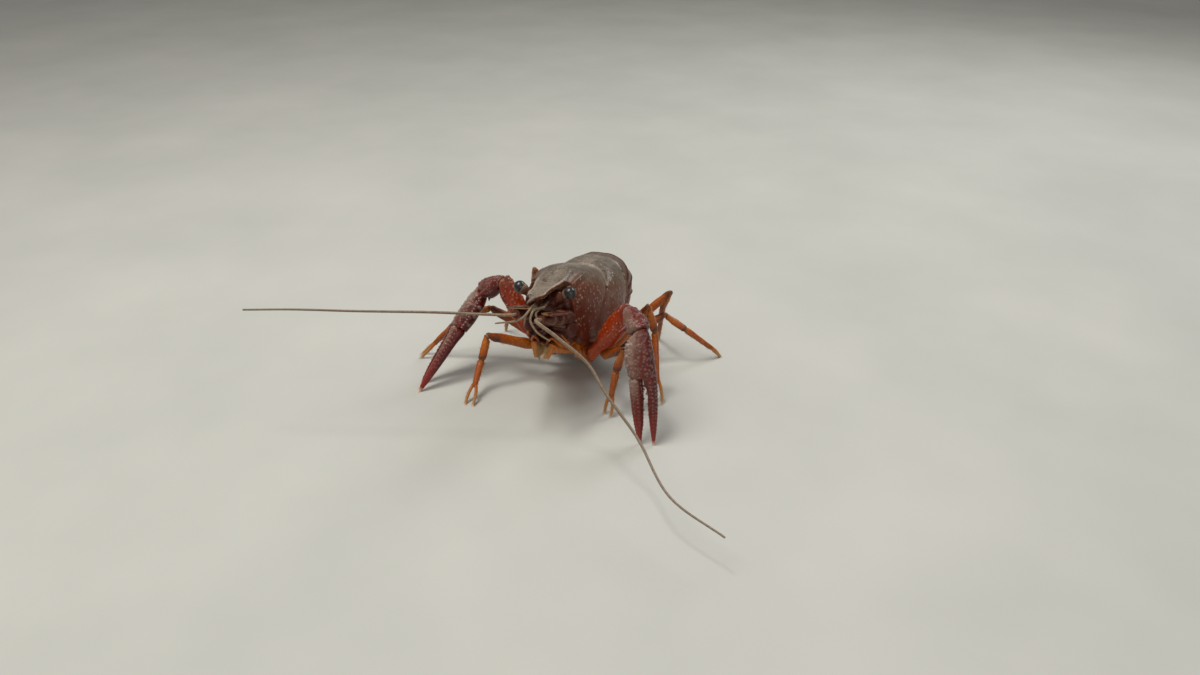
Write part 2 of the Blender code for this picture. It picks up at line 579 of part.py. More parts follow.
def tube(name, route, radii, skin, home):
    """Tapering round feeler along a smooth curve through its route, as a bevelled curve object."""
    route = np.array(route, float)
    reach = np.concatenate([[0], np.cumsum(np.linalg.norm(np.diff(route, axis=0), axis=1))])
    count = max(6, int(reach[-1] / 2.2))
    places = np.linspace(0, reach[-1], count)
    path = np.stack([curve_at(list(zip(reach, route[:, k])), places) for k in range(3)], axis=1)
    data = bpy.data.curves.new(name, "CURVE")
    data.dimensions = "3D"
    data.bevel_depth = MM
    data.bevel_resolution = 1
    data.use_fill_caps = True
    spline = data.splines.new("POLY")
    spline.points.add(count - 1)
    for k, point in enumerate(path):
        spline.points[k].co = (*((point + SHIFT) * MM), 1)
        spline.points[k].radius = radii[0] + (radii[1] - radii[0]) * k / (count - 1)
    data.materials.append(skin)
    obj = bpy.data.objects.new(name, data)
    home.objects.link(obj)
    return obj


def solid_tube(name, route, radii, skin, home):
    """The same feeler as a mesh, with its caps welded."""
    obj = tube(name, route, radii, skin, home)
    bpy.context.view_layer.update()
    graph = bpy.context.evaluated_depsgraph_get()
    mesh = bpy.data.meshes.new_from_object(obj.evaluated_get(graph))
    work = bmesh.new()
    work.from_mesh(mesh)
    bmesh.ops.remove_doubles(work, verts=work.verts[:], dist=1e-6)
    bpy.data.objects.remove(obj, do_unlink=True)
    return finish_mesh(name, work, skin, home)


def make_antennae(skin, home):
    for name, side in SIDES.items():
        base = to_world([mirror_side(ANTENNA_BASE, side)])[0]
        end = to_world([ANTENNA_END[name]])[0]
        axis = unit(end - base)
        section = tapered(ANTENNA_SIZE, ANTENNA_SIZE, sides=8, power=2.0)
        stations = [t for t, _ in ANTENNA_SIZE]
        stalk = loft(mitred(base, end, axis, axis, (0, 0, 1), section, stations))
        peduncle = mesh_object("antenna_base_" + name, stalk, skin, home)
        fuse(peduncle, [mesh_object("scale", antenna_scale(base, axis, side), skin, home)], home)


def antenna_scale(base, axis, side):
    """Flat blade over the outer side of the feeler's base, with a spine at its outer corner."""
    outward = turned((side, 0, 0))
    up = unit(np.cross(axis, outward)) * side
    up = up if up[2] > 0 else -up
    rings = []
    for along, inner, outer in SCALE_EDGES:
        centre = base + axis * along + up * SCALE_LIFT
        half = 0.3 if along < 8 else 0.18
        middle = 0.5 * (inner + outer)
        ring = [(inner, 0), (middle, half), (outer, half), (outer, -half), (middle, -half)]
        rings.append([centre + outward * a + up * b for a, b in ring])
    return loft(rings)


def make_flagella(skin, home):
    """Long whips, each in two lengths, the second starting where the first stops."""
    for name, side in SIDES.items():
        route = flagellum_route(name)
        middle = len(route) // 2
        share = FLAGELLUM_RADII[0] + (FLAGELLUM_RADII[1] - FLAGELLUM_RADII[0]) * 0.5
        first, second = route[: middle + 1], route[middle:]
        cut = unit(second[1] - first[-2])
        first = np.vstack([first[:-1], first[-1] - 0.5 * GAP * cut])
        second = np.vstack([second[0] + 0.5 * GAP * cut, second[1:]])
        solid_tube("flagellum_base_" + name, first, (FLAGELLUM_RADII[0], share), skin, home)
        solid_tube("flagellum_tip_" + name, second, (share, FLAGELLUM_RADII[1]), skin, home)


def flagellum_route(name):
    """World points of a whip, which leaves the end of its base straight ahead and then bends."""
    base, end = to_world([mirror_side(ANTENNA_BASE, SIDES[name]), ANTENNA_END[name]])
    axis = unit(end - base)
    route = [end + GAP * axis, end + WHIP_LEAD * axis]
    for length, azimuth, elevation in FLAGELLUM_BENDS[name] + [FLAGELLUM_LAST[name]]:
        route.append(route[-1] + length * direction(azimuth, elevation))
    return np.array(route)


def make_antennules(skin, home):
    for name, side in SIDES.items():
        base = to_world([mirror_side(ANTENNULE_BASE, side)])[0]
        axis = unit(turned((0.02 * side, -1, -0.16)))
        end = base + ANTENNULE_LENGTH * axis
        section = tapered(ANTENNULE_SIZE, ANTENNULE_SIZE, sides=8, power=2.0)
        stalk = loft(mitred(base, end, axis, axis, (0, 0, 1), section, (0, 0.4, 0.5, 1)))
        body = mesh_object("antennule_" + name, stalk, skin, home)
        pieces = []
        for rank, which in ((1, "outer"), (-1, "inner")):
            route = [end - 0.9 * axis + np.array([0.22 * side * rank, 0, 0.1 * rank])]
            route.append(route[0] + 1.1 * axis)
            for length, azimuth, elevation in BRANCHES[(name, which)]:
                route.append(route[-1] + length * direction(azimuth, elevation))
            pieces.append(solid_tube("branch", route, BRANCH_RADII, skin, home))
        fuse(body, pieces, home)


def make_maxillipeds(skin, home):
    for name, side in SIDES.items():
        route = to_world([mirror_side(p, side) for p in MAXILLIPED])
        normals = joint_normals(route, turned((0, -1, 0)), route[3] - route[2])
        body = []
        for k, (wide, deep) in enumerate(MAXILLIPED_SIZE):
            section = tapered([(0, wide[0]), (1, wide[1])], [(0, deep[0]), (1, deep[1])], 8)
            trims = (0.0 if k else GAP, 0.0)
            planes = normals[k], normals[k + 1]
            rings = mitred(route[k], route[k + 1], *planes, (0, 0, 1), section, (0, 0.1, 0.5, 0.9, 1), trims)
            body += rings[1:] if k else rings
        mesh_object("maxilliped_" + name, loft(body), skin, home)


# Walking legs
def leg_chain(number, name):
    """World points of a leg from its socket to the floor; the hand's slope is what reaches the floor."""
    side = SIDES[name]
    upper, wrist, hand = LEG_LENGTHS[number]
    (azimuth, elevation), wrist_way, hand_azimuth = LEG_POSES[(number, name)]
    points = [socket_point(number, side)]
    points.append(points[-1] + upper * direction(azimuth, elevation))
    points.append(points[-1] + wrist * direction(*wrist_way))
    slope = -math.degrees(math.asin(points[-1][2] / hand))
    points.append(points[-1] + hand * direction(hand_azimuth, slope))
    return points


def make_legs(skin, home):
    for number in LEG_LENGTHS:
        for name, side in SIDES.items():
            chain = leg_chain(number, name)
            normals = joint_normals(chain, socket_normal(number, side), (0, 0, -1))
            size = LEG_SIZE[number]
            label = f"leg{number}_{name}"
            upper = tapered(scaled(UPPER_WIDE, size), scaled(UPPER_DEEP, size), sag=UPPER_SAG)
            make_segment("upper_" + label, chain, normals, 0, upper, skin, home)
            wrist = tapered(scaled(WRIST_SIZE, size), scaled(WRIST_SIZE, size))
            make_segment("wrist_" + label, chain, normals, 1, wrist, skin, home)
            make_hand(number, "hand_" + label, chain, normals, size, skin, home)


def scaled(stations, size):
    return [(t, value * size) for t, value in stations]


def make_segment(name, chain, normals, index, section, skin, home):
    ends, planes = chain[index : index + 2], normals[index : index + 2]
    rings = mitred(*ends, *planes, (0, 0, 1), section, SEGMENT_STATIONS)
    return mesh_object(name, loft(rings), skin, home)


def make_hand(number, name, chain, normals, size, skin, home):
    """Last part of a leg, which ends flat at z = 0: legs 2 and 3 in a small pincer, 4 and 5 in one claw."""
    start, tip = chain[2], chain[3]
    share = FINGER_SHARE[number]
    axis = unit(tip - start)
    fork = start + (tip - start) * (1 - share)
    if number > 3:
        fork = fork + 0.35 * unit(np.cross(np.cross(axis, (0, 0, 1)), axis))
    axis = unit(fork - start)
    section = tapered(scaled(HAND_SIZE, size), scaled(HAND_SIZE, size), sides=8)
    stations, trims = (0, 0.08, 0.4, 0.8, 1), (GAP / 2, 0.0)
    palm = loft(mitred(start, fork, normals[2], axis, (0, 0, 1), section, stations, trims))
    body = mesh_object(name, palm, skin, home)
    spread = unit(np.cross(axis, (0, 0, 1)))
    pieces = []
    for offset in ((-0.42, 0.42) if number < 4 else (0.0,)):
        root = fork - 0.5 * axis + spread * offset * size * 0.75
        toe = tip + spread * offset * 2.1
        width = 0.36 if number < 4 else 0.5
        widths = [(0, width), (0.5, width * 0.9), (1, LEG_END)]
        section = tapered(widths, widths, 6, 2.0)
        planes = unit(toe - root), np.array([0, 0, -1.0])
        rings = mitred(root, toe, *planes, (0.2, 0.1, 1), section, (0, 0.5, 1), (0, 0))
        pieces.append(mesh_object("finger", loft(rings), skin, home))
    fuse(body, pieces, home)


# Chelipeds
def cheliped_chain(name):
    side = SIDES[name]
    arm_way, wrist_way, claw_azimuth = CHELIPED_POSES[name]
    points = [socket_point(1, side)]
    points.append(points[-1] + ARM_LENGTH * direction(*arm_way))
    points.append(points[-1] + WRIST_LENGTH * direction(*wrist_way))
    slope = -math.degrees(math.asin(points[-1][2] / CLAW_LENGTH[name]))
    points.append(points[-1] + CLAW_LENGTH[name] * direction(claw_azimuth, slope))
    return points


def claw_axes(name):
    """Origin, axis, mesial and dorsal directions of a claw, and its length."""
    chain = cheliped_chain(name)
    axis = unit(chain[3] - chain[2])
    dorsal = direction(*CLAW_BACK[name])
    dorsal = unit(dorsal - (dorsal @ axis) * axis)
    mesial = np.cross(axis, dorsal) * SIDES[name]
    return chain[2], axis, mesial, dorsal, CLAW_LENGTH[name]


def claw_ring(name, share, low, high, deep, sides=10):
    """Ring of a claw between two margins, at a share of its length."""
    origin, axis, mesial, dorsal, length = claw_axes(name)
    ring = oval(sides, 0.5 * (high - low), deep, 2.3)
    centre = origin + axis * share * length + mesial * 0.5 * (high + low)
    return centre + ring[:, :1] * mesial + ring[:, 1:2] * dorsal


def cut_to_plane(ring, axis, point, normal):
    """Slide a ring's points along the axis on to a plane."""
    return ring + (((point - ring) @ normal) / (axis @ normal))[:, None] * axis


def claw_stud(name, share, place, angle, height, radius, skin, home):
    """Tubercle on a claw, between the margins at a share of its length and turned to the dorsal side."""
    origin, axis, mesial, dorsal, length = claw_axes(name)
    high = curve_at(MESIAL, share) if share < 0.4 else curve_at(FINGER_OUTER, share)
    low = -curve_at(LATERAL, share) if share < 0.4 else curve_at(FINGER_INNER, share)
    half, middle = 0.5 * (high - low), 0.5 * (high + low)
    a = math.radians(angle)
    out = mesial * math.cos(a) * place + dorsal * math.sin(a)
    reach = 1 / math.hypot(math.cos(a) / half, math.sin(a) / curve_at(CLAW_DEEP, share))
    surface = origin + axis * share * length + mesial * middle + out * reach * 0.97
    tip = surface + height * out + 0.5 * height * axis
    return mesh_object("stud", spine(surface - CLAW_SINK * out, tip, radius), skin, home)


def tooth(name, share, edge, way, height, radius, skin, home):
    """Tooth on a cutting edge, given the edge's place across the claw and the way it points."""
    origin, axis, mesial, _, length = claw_axes(name)
    root = origin + axis * share * length + mesial * (edge - way * TOOTH_SINK)
    return mesh_object("tooth", spine(root, root + mesial * way * (height + TOOTH_SINK), radius), skin, home)


def limb_studs(start, end, section, mesial, studs, skin, home):
    """Spines on an arm or wrist: (share of its length, angle from its inner side upwards, height, radius)."""
    axis = unit(end - start)
    inner = unit(mesial - (mesial @ axis) * axis)
    up = np.cross(axis, inner)
    up = up if up[2] > 0 else -up
    pieces = []
    for share, angle, height, radius in studs:
        a = math.radians(angle)
        out = inner * math.cos(a) + up * math.sin(a)
        size = np.abs(section(share)).max(axis=0).mean() * 0.96
        surface = start + (end - start) * share + out * size
        tip = surface + height * out + 0.5 * height * axis
        pieces.append(mesh_object("stud", spine(surface - LIMB_SINK * out, tip, radius), skin, home))
    return pieces


def make_chelipeds(skin, home):
    for name, side in SIDES.items():
        chain = cheliped_chain(name)
        origin, axis, mesial, _, length = claw_axes(name)
        normals = joint_normals(chain, socket_normal(1, side), axis)
        arm_section, wrist_section = tapered(ARM_WIDE, ARM_DEEP), tapered(CARPUS_SIZE, CARPUS_SIZE)
        arm = make_segment("arm_" + name, chain, normals, 0, arm_section, skin, home)
        fuse(arm, limb_studs(chain[0], chain[1], arm_section, mesial, ARM_SPINES, skin, home), home)
        wrist = make_segment("wrist_" + name, chain, normals, 1, wrist_section, skin, home)
        fuse(wrist, limb_studs(chain[1], chain[2], wrist_section, mesial, CARPUS_SPINES, skin, home), home)
        rings = []
        for share in PALM_STATIONS:
            margins = -curve_at(LATERAL, share), curve_at(MESIAL, share)
            rings.append(claw_ring(name, share, *margins, curve_at(CLAW_DEEP, share)))
        rings[0] = cut_to_plane(rings[0], axis, origin + 0.5 * GAP * normals[2], normals[2])
        outer = [(t, -size) for t, size in LATERAL]
        rings += finger_rings(name, outer, CUT_EDGE, FINGER_START, 1.0)
        palm = mesh_object("palm_" + name, loft(rings), skin, home)
        chance = random.Random(TUBERCLE_SEED + side)
        studs = [claw_stud(name, *stud, skin, home) for stud in MARGIN_ROW]
        for k in range(BACK_TUBERCLES):
            share = 0.08 + 0.28 * (k + chance.random()) / BACK_TUBERCLES
            angle = chance.uniform(30, 88)
            place = chance.choice((1.0, -1.0))
            studs.append(claw_stud(name, share, place, angle, 0.25, chance.uniform(0.28, 0.36), skin, home))
        for share, height, radius in FIXED_TEETH:
            studs.append(tooth(name, share, curve_at(CUT_EDGE, share), 1, height, radius, skin, home))
        fuse(palm, studs, home)
        first = FINGER_START + GAP / length
        rings = finger_rings(name, FINGER_INNER, FINGER_OUTER, first, MOVING_FLATNESS)
        finger = mesh_object("finger_" + name, loft(rings), skin, home)
        studs = [claw_stud(name, *stud, skin, home) for stud in FINGER_ROW]
        for share, height, radius in MOVING_TEETH:
            studs.append(tooth(name, share, curve_at(FINGER_INNER, share), -1, height, radius, skin, home))
        fuse(finger, studs, home)


def finger_rings(name, low, high, first, flatness):
    """Rings of a claw's finger from a share of the claw's length to the floor."""
    origin, axis, mesial, _, length = claw_axes(name)
    middle = 0.5 * (curve_at(low, 1.0) + curve_at(high, 1.0))
    last = -(origin[2] + middle * mesial[2]) / (axis[2] * length)
    rings = []
    for part in FINGER_STATIONS:
        share = first + (last - first) * part
        place = FINGER_START + (1 - FINGER_START) * part
        deep = flatness * curve_at(CLAW_DEEP, place)
        rings.append(claw_ring(name, share, curve_at(low, place), curve_at(high, place), deep))
    rings[-1] = cut_to_plane(rings[-1], axis, np.zeros(3), np.array([0.0, 0.0, -1.0]))
    return rings


# Abdomen and tail fan
def heading(degrees):
    """Unit vector in the body's middle plane, which is level at 0 and turns down and under below it."""
    a = math.radians(degrees)
    return np.array([0.0, math.cos(a), math.sin(a)])


def curl():
    """World points and plane normals of the abdomen's joints, and their angles on the curl."""
    angles = CURL_START - np.concatenate([[0], np.cumsum(CURL_STEPS)])
    top = to_world([(0, REAR_MARGIN[0][1], curve_at(TOP, REAR_MARGIN[0][1]))])[0]
    top = top + GAP * heading(angles[0])
    centre = top + CURL_RADIUS * (-dorsal_of(angles[0]))
    points = [centre + (CURL_RADIUS - AXIS_DEPTH) * dorsal_of(a) for a in angles]
    return points, [heading(a) for a in angles], angles


def dorsal_of(angle):
    return heading(angle + 90)


def abdomen_section(first, last, pleuron):
    """Section function of one segment: an arched back, flaps at the sides and a shallow belly."""

    def section(t):
        wide = first + (last - first) * t
        swell = 1.0 - 0.07 * math.exp(-((t / 0.12) ** 2))
        high = (AXIS_DEPTH - 0.05) * swell
        wide = wide * swell
        flap = 1.6 + pleuron * math.sin(math.pi * min(1.0, 0.12 + 0.95 * t)) ** 0.8
        half = [(x * wide, y * high) for x, y in TERGITE[1:]]
        half += [(x * wide, -flap if level is None else level) for x, level in UNDERSIDE]
        ring = [(0.0, high)] + half + [(0.0, UNDERSIDE_MIDDLE)] + [(-x, y) for x, y in half[::-1]]
        return np.array(ring)

    return section


def make_abdomen(skin, home):
    points, normals, angles = curl()
    for k, flap in enumerate(PLEURA):
        section = abdomen_section(TAIL_HALF_WIDTH[k], TAIL_HALF_WIDTH[k + 1], flap)
        hint = dorsal_of(0.5 * (angles[k] + angles[k + 1]))
        planes = normals[k], normals[k + 1]
        rings = mitred(points[k], points[k + 1], *planes, hint, section, (0, 0.12, 0.35, 0.6, 0.85, 1))
        mesh_object(f"abdomen{k + 1}", loft(rings), skin, home)


def blade(base, along, across, up, outline, length, thick):
    """Flat leaf with a raised middle rib, from half widths along its length."""
    rings = []
    for t in FAN_STATIONS:
        wide = curve_at(outline, t)
        half = thick * (1.0 - 0.55 * t)
        upper = [(a * wide, b * half) for a, b in LEAF_FACE]
        lower = [(a, -b) for a, b in upper[::-1]]
        rings.append([base + along * t * length + across * a + up * b for a, b in upper + lower])
    return loft(rings)


def make_tail_fan(skin, home):
    points, _, angles = curl()
    end, along, up = points[-1], heading(FAN_HEADING), dorsal_of(FAN_HEADING)
    left = np.array([1.0, 0.0, 0.0])
    base = end + along * FAN_LEAD + dorsal_of(angles[-1]) * FAN_OFFSET
    telson = blade(base, along, left, up, TELSON, TELSON_LENGTH, TELSON_THICK)
    mesh_object("telson", telson, skin, home)
    for name, side in SIDES.items():
        for which, (out, spread, below, length) in FAN.items():
            a = math.radians(spread)
            way = along * math.cos(a) + left * side * math.sin(a)
            across = unit(np.cross(way, up))
            root = base + left * side * out - up * below
            leaf = blade(root, way, across, up, UROPOD, length, UROPOD_THICK)
            mesh_object(f"uropod_{which}_{name}", leaf, skin, home)


def main():
    clear_scene()
    home = new_collection("red_swamp_crayfish")
    shell = material("shell", (0.23, 0.13, 0.09), 0.35)
    eye = material("cornea", (0.01, 0.01, 0.012), 0.12)
    feeler = material("feeler", (0.45, 0.33, 0.22), 0.4)
    leg = material("leg", (0.62, 0.22, 0.05), 0.35)
    claw = material("claw", (0.2, 0.03, 0.02), 0.3)
    make_carapace(shell, home)
    make_belly(leg, home)
    make_eyes(eye, home)
    make_antennae(shell, home)
    make_flagella(feeler, home)
    make_antennules(feeler, home)
    make_maxillipeds(leg, home)
    make_legs(leg, home)
    make_chelipeds(claw, home)
    make_abdomen(shell, home)
    make_tail_fan(shell, home)


main()
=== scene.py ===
"""Red swamp crayfish: finely built skins over the CAD nodes, with procedural materials, in the photo's pose.

Shapes come from the same named sizes as the CAD, in millimetres, at a much finer step: furrows, tubercles,
spines, hairs and the rings of the feelers are added here.
"""

import math
import random

import bpy
import numpy as np
from mathutils import Matrix, Vector, noise


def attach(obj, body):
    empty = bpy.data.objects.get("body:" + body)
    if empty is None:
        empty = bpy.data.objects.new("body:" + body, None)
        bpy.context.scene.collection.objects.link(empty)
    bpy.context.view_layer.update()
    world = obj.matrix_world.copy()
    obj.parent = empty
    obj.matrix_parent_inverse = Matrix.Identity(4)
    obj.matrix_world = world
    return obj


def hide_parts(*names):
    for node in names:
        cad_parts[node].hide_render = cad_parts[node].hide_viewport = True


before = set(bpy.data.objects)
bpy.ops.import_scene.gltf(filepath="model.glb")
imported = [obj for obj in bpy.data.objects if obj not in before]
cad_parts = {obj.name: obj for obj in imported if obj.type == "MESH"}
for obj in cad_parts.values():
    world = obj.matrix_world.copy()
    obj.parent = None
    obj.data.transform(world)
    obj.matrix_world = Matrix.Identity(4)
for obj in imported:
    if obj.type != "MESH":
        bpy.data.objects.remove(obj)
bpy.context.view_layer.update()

MM = 0.001
GAP = 0.3  # clear space between neighbouring pieces
LEFT, RIGHT = 1, -1
SIDES = {"left": LEFT, "right": RIGHT}

# Stance of the body in the world
BODY_HEIGHT = 18.0
BODY_PITCH = 15.0
BODY_ROLL = 3.0
BODY_PIVOT = np.array([0.0, 15.0, 0.0])
SHIFT = np.array([3.15, 13.67, 0.0])  # brings the middle of the whole outline over the origin

# Carapace: each pair is (distance behind the eye sockets, size), or (angle from the top, distance)
HALF_WIDTH = [(-2, 4.4), (0, 5.1), (4, 6.5), (9, 7.4), (15, 7.9), (20, 8.1), (25, 7.5), (30, 6.6)]
TOP = [(-2, 5.5), (0, 6.4), (5, 7.8), (11, 7.6), (16, 6.5), (20, 7.3), (24, 7.5), (29, 6.3)]
LOWER_EDGE = [(-2, -5.2), (0, -5.6), (6, -7.8), (13, -8.8), (19, -8.6), (25, -7.3), (31, -4.8)]
WIDEST_LEVEL = [(-2, -0.4), (15, -1.4), (31, -0.6)]
EDGE_ANGLE = 128.0  # from the top round to the lower edge
TUCK = 0.26  # how far the side turns in above the lower edge
FRONT_MARGIN = [(0, -0.4), (22, 0.2), (42, 1.2), (60, 0.2), (80, 0.1), (105, 1.5), (128, 4.8)]
REAR_MARGIN = [(0, 25.2), (45, 25.2), (90, 25.2), (128, 24.2)]
CERVICAL_GROOVE = [(0, 17.6), (30, 16.9), (60, 14.0), (90, 9.5), (128, 5.0)]
GROOVE_DEPTH = 0.55
GROOVE_HALF_WIDTH = 1.0
GROOVE_END = 112.0  # angle at which the groove has faded out on the side
# Shell spines on each side: (distance behind the eyes, angle, height, radius, how far the tip leans ahead)
CERVICAL_SPINES = [(14.2, 62, 1.0, 0.55, 0.7), (8.4, 82, 0.6, 0.42, 0.3)]
TUBERCLE_SEED, MAXILLIPED_SEED, CHELIPED_SEED = 7, 40, 60
# Ridge behind each eye: (distance behind the eyes, angle)
RIDGE = [(0.6, 45), (2.4, 42), (5.0, 38), (8.5, 34)]

# Rostrum, by distance ahead of the eye sockets
ROSTRUM_HALF_WIDTH = [(-6, 2.3), (-3, 2.9), (0, 2.9), (4, 1.9), (7.0, 1.35), (7.6, 0.75), (10, 0.15)]
ROSTRUM_LEVEL = [(-6, 5.4), (-3, 6.0), (0, 5.5), (5, 4.3), (10, 3.1)]
ROSTRUM_THICK = [(-6, 1.6), (0, 1.3), (7, 0.8), (10, 0.3)]
# One half of the rostrum's section, as shares of its half width and thickness: raised margins, hollow middle
ROSTRUM_SECTION = [(0.0, -0.1), (0.55, 0.0), (0.84, 0.42), (1.0, 0.0), (0.7, -0.6)]

# Belly, with the leg sockets as (out, behind the eyes, level) of the outer face, and their radii
SOCKETS = {
    1: (5.6, 9.6, -10.8),
    2: (6.0, 13.6, -10.4),
    3: (6.1, 17.0, -10.4),
    4: (5.9, 20.2, -10.1),
    5: (5.4, 23.1, -9.5),
}
SOCKET_RADIUS = {1: 1.65, 2: 1.25, 3: 1.25, 4: 1.2, 5: 1.15}
SOCKET_ROOT = 2.2  # how far from the middle line a socket starts
SOCKET_SIZE = [(0, 0.85), (0.55, 0.96), (0.68, 0.84), (0.76, 1.0), (1, 0.97)]  # as shares of its radius
BELLY_DEPTH = 2.6
BELLY_SPAN = (6.8, 24.4)  # distances behind the eyes

# Eyes and feelers
EYE_OUT, EYE_AHEAD, EYE_LEVEL = 5.3, 2.3, 4.3
EYE_ROOT = (2.4, -1.6, 2.6)
EYE_RADIUS = 1.25
FLAGELLUM_RADII = (0.38, 0.25)
# Ends of each long feeler's base
ANTENNA_BASE = (3.9, -0.9, -0.9)
ANTENNA_END = {"left": (2.6, -9.4, 0.2), "right": (-2.6, -9.4, 0.6)}
ANTENNA_SIZE = [(0, 1.3), (0.3, 1.35), (0.34, 1.1), (0.6, 1.15), (0.64, 0.85), (1, 0.8)]
# Scale over that base: (distance along it, inner edge, outer edge), and its height over the middle line
SCALE_EDGES = [(0.5, -0.3, 1.3), (2.5, -0.6, 2.0), (5.0, -0.5, 2.1), (7.0, 0.2, 2.0), (8.2, 1.3, 1.95)]
SCALE_EDGES += [(9.2, 1.75, 1.9)]
SCALE_LIFT = 1.0
# Bends of each whip after a straight start: (length, azimuth, elevation) of every stretch
WHIP_LEAD = 1.6
FLAGELLUM_BENDS = {
    "left": [(4.6, 84, -30), (8.7, 78, -28), (5.3, 54, -30), (10.3, 58, -26), (13.4, 46, -18)],
    "right": [(1.5, -60, 2), (2.8, -69, 2), (9.4, -72, 1), (16.0, -71, 0), (12.3, -72, 0)],
}
FLAGELLUM_LAST = {"left": (11.6, 65, -5), "right": (9.0, -72, -2)}

# Antennules: a short base under the rostrum with two thin branches
ANTENNULE_BASE = (0.75, -0.9, 2.1)
ANTENNULE_LENGTH = 3.9
ANTENNULE_SIZE = [(0, 0.6), (0.4, 0.66), (0.5, 0.55), (1, 0.55)]
BRANCH_RADII = (0.3, 0.25)
# (length, azimuth, elevation) of the stretches of each branch
BRANCHES = {
    ("left", "outer"): ((2.2, -30, 2), (2.0, -5, -44), (2.3, 66, -51), (3.3, 100, -36)),
    ("left", "inner"): ((2.2, -5, -10), (2.1, 60, -44)),
    ("right", "outer"): ((5.0, -8, -8), (4.6, -66, -8)),
    ("right", "inner"): ((2.9, -14, -10), (2.0, 5, -50)),
}
# Third maxillipeds: two broad upper joints reaching ahead, and a narrow lower end folded down
MAXILLIPED = ((2.3, 6.8, -9.3), (2.0, 0.8, -8.0), (1.8, -2.0, -7.1), (1.2, -2.9, -9.3))
# Half width and half depth of each of its parts at both ends
MAXILLIPED_SIZE = (((1.0, 1.3), (0.95, 0.85)), ((1.15, 0.95), (0.9, 0.75)), ((0.75, 0.3), (0.6, 0.28)))

# Walking legs: lengths of the upper part, the wrist, and the hand with its finger
LEG_LENGTHS = {2: (13.6, 5.2, 10.0), 3: (15.3, 6.1, 15.2), 4: (13.4, 5.6, 11.6), 5: (15.4, 5.6, 12.7)}
# (azimuth, elevation) of the upper part and of the wrist, and the azimuth of the hand
LEG_POSES = {
    (2, "left"): ((43, 26), (-104, -73), -21),
    (2, "right"): ((-49, 15), (-20, -66), 3),
    (3, "left"): ((79, 49), (138, -73), 27),
    (3, "right"): ((-83, 20), (-72, -15), -68),
    (4, "left"): ((131, 16), (98, -33), 119),
    (4, "right"): ((-106, 38), (-118, -45), -116),
    (5, "left"): ((117, 37), (-138, -57), -156),
    (5, "right"): ((-118, 41), (-148, -54), -170),
}

# Half sizes along a walking leg's parts, for a leg of size 1, and how far the upper part's middle sags
UPPER_WIDE = [(0, 0.95), (0.12, 0.85), (0.24, 0.8), (0.3, 0.95), (0.6, 1.0), (0.92, 0.8), (1, 0.72)]
UPPER_DEEP = [(0, 0.95), (0.12, 0.95), (0.24, 0.9), (0.3, 1.1), (0.6, 1.15), (0.92, 0.95), (1, 0.8)]
UPPER_SAG = [(0, 0.0), (0.18, 0.9), (0.4, 1.0), (0.7, 0.4), (1, 0.0)]
WRIST_SIZE = [(0, 0.66), (0.15, 0.72), (0.7, 0.84), (0.9, 0.8), (1, 0.68)]
HAND_SIZE = [(0, 0.64), (0.1, 0.72), (0.5, 0.66), (1, 0.52)]
FINGER_SHARE = {2: 0.40, 3: 0.30, 4: 0.29, 5: 0.27}
LEG_SIZE = {2: 1.0, 3: 1.0, 4: 0.92, 5: 0.88}
LEG_END = 0.26  # half width at the floor

# Chelipeds: arm, wrist and claw lengths, their directions and the way the back of the claw faces
ARM_LENGTH, WRIST_LENGTH = 15.7, 7.1
CLAW_LENGTH = {"left": 22.5, "right": 24.8}
CHELIPED_POSES = {
    "left": ((75, 54), (38, -4), 36),
    "right": ((-101, 53), (-107, -30), -29),
}
CLAW_BACK = {"left": (15, 25), "right": (-70, 37)}
ARM_WIDE = [(0, 1.35), (0.1, 1.2), (0.24, 1.1), (0.32, 1.35), (0.8, 1.75), (0.95, 1.6), (1, 1.35)]
ARM_DEEP = [(0, 1.4), (0.1, 1.3), (0.24, 1.2), (0.32, 1.6), (0.8, 2.2), (0.95, 2.0), (1, 1.6)]
CARPUS_SIZE = [(0, 1.25), (0.2, 1.75), (0.55, 2.2), (0.85, 2.1), (1, 1.6)]
# Claw margins on either side of its axis, and its half depth, by share of the claw's length
LATERAL = [(0, 1.45), (0.08, 1.85), (0.2, 2.2), (0.4, 2.45), (0.6, 2.35), (0.8, 1.95), (0.94, 1.45), (1, 1.2)]
MESIAL = [(0, 1.45), (0.05, 2.3), (0.12, 3.0), (0.24, 3.25), (0.34, 3.05), (0.4, 2.75)]
FINGER_OUTER = [(0.40, 2.7), (0.46, 2.75), (0.6, 2.7), (0.8, 2.45), (0.94, 2.05), (1, 1.85)]
FINGER_INNER = [(0.40, 0.25), (0.5, 0.2), (0.65, 0.35), (0.8, 0.65), (0.94, 1.15), (1, 1.35)]
CLAW_DEEP = [(0, 1.35), (0.08, 1.8), (0.22, 2.05), (0.38, 1.85), (0.5, 1.35), (0.7, 1.05)]
CLAW_DEEP += [(0.9, 0.65), (1, 0.3)]
FINGER_START = 0.405
MOVING_FLATNESS = 0.92  # depth of the moving finger against the fixed one
CLAW_POWER = 2.3  # how square the section of a claw is; 2 is an ellipse
# Tubercles of the palm's mesial margin: (share of the length, angle to the dorsal side, height, radius)
MARGIN_ROW = [(0.1 + 0.044 * k, (25, -20)[k % 2], 0.5, 0.42) for k in range(6)]
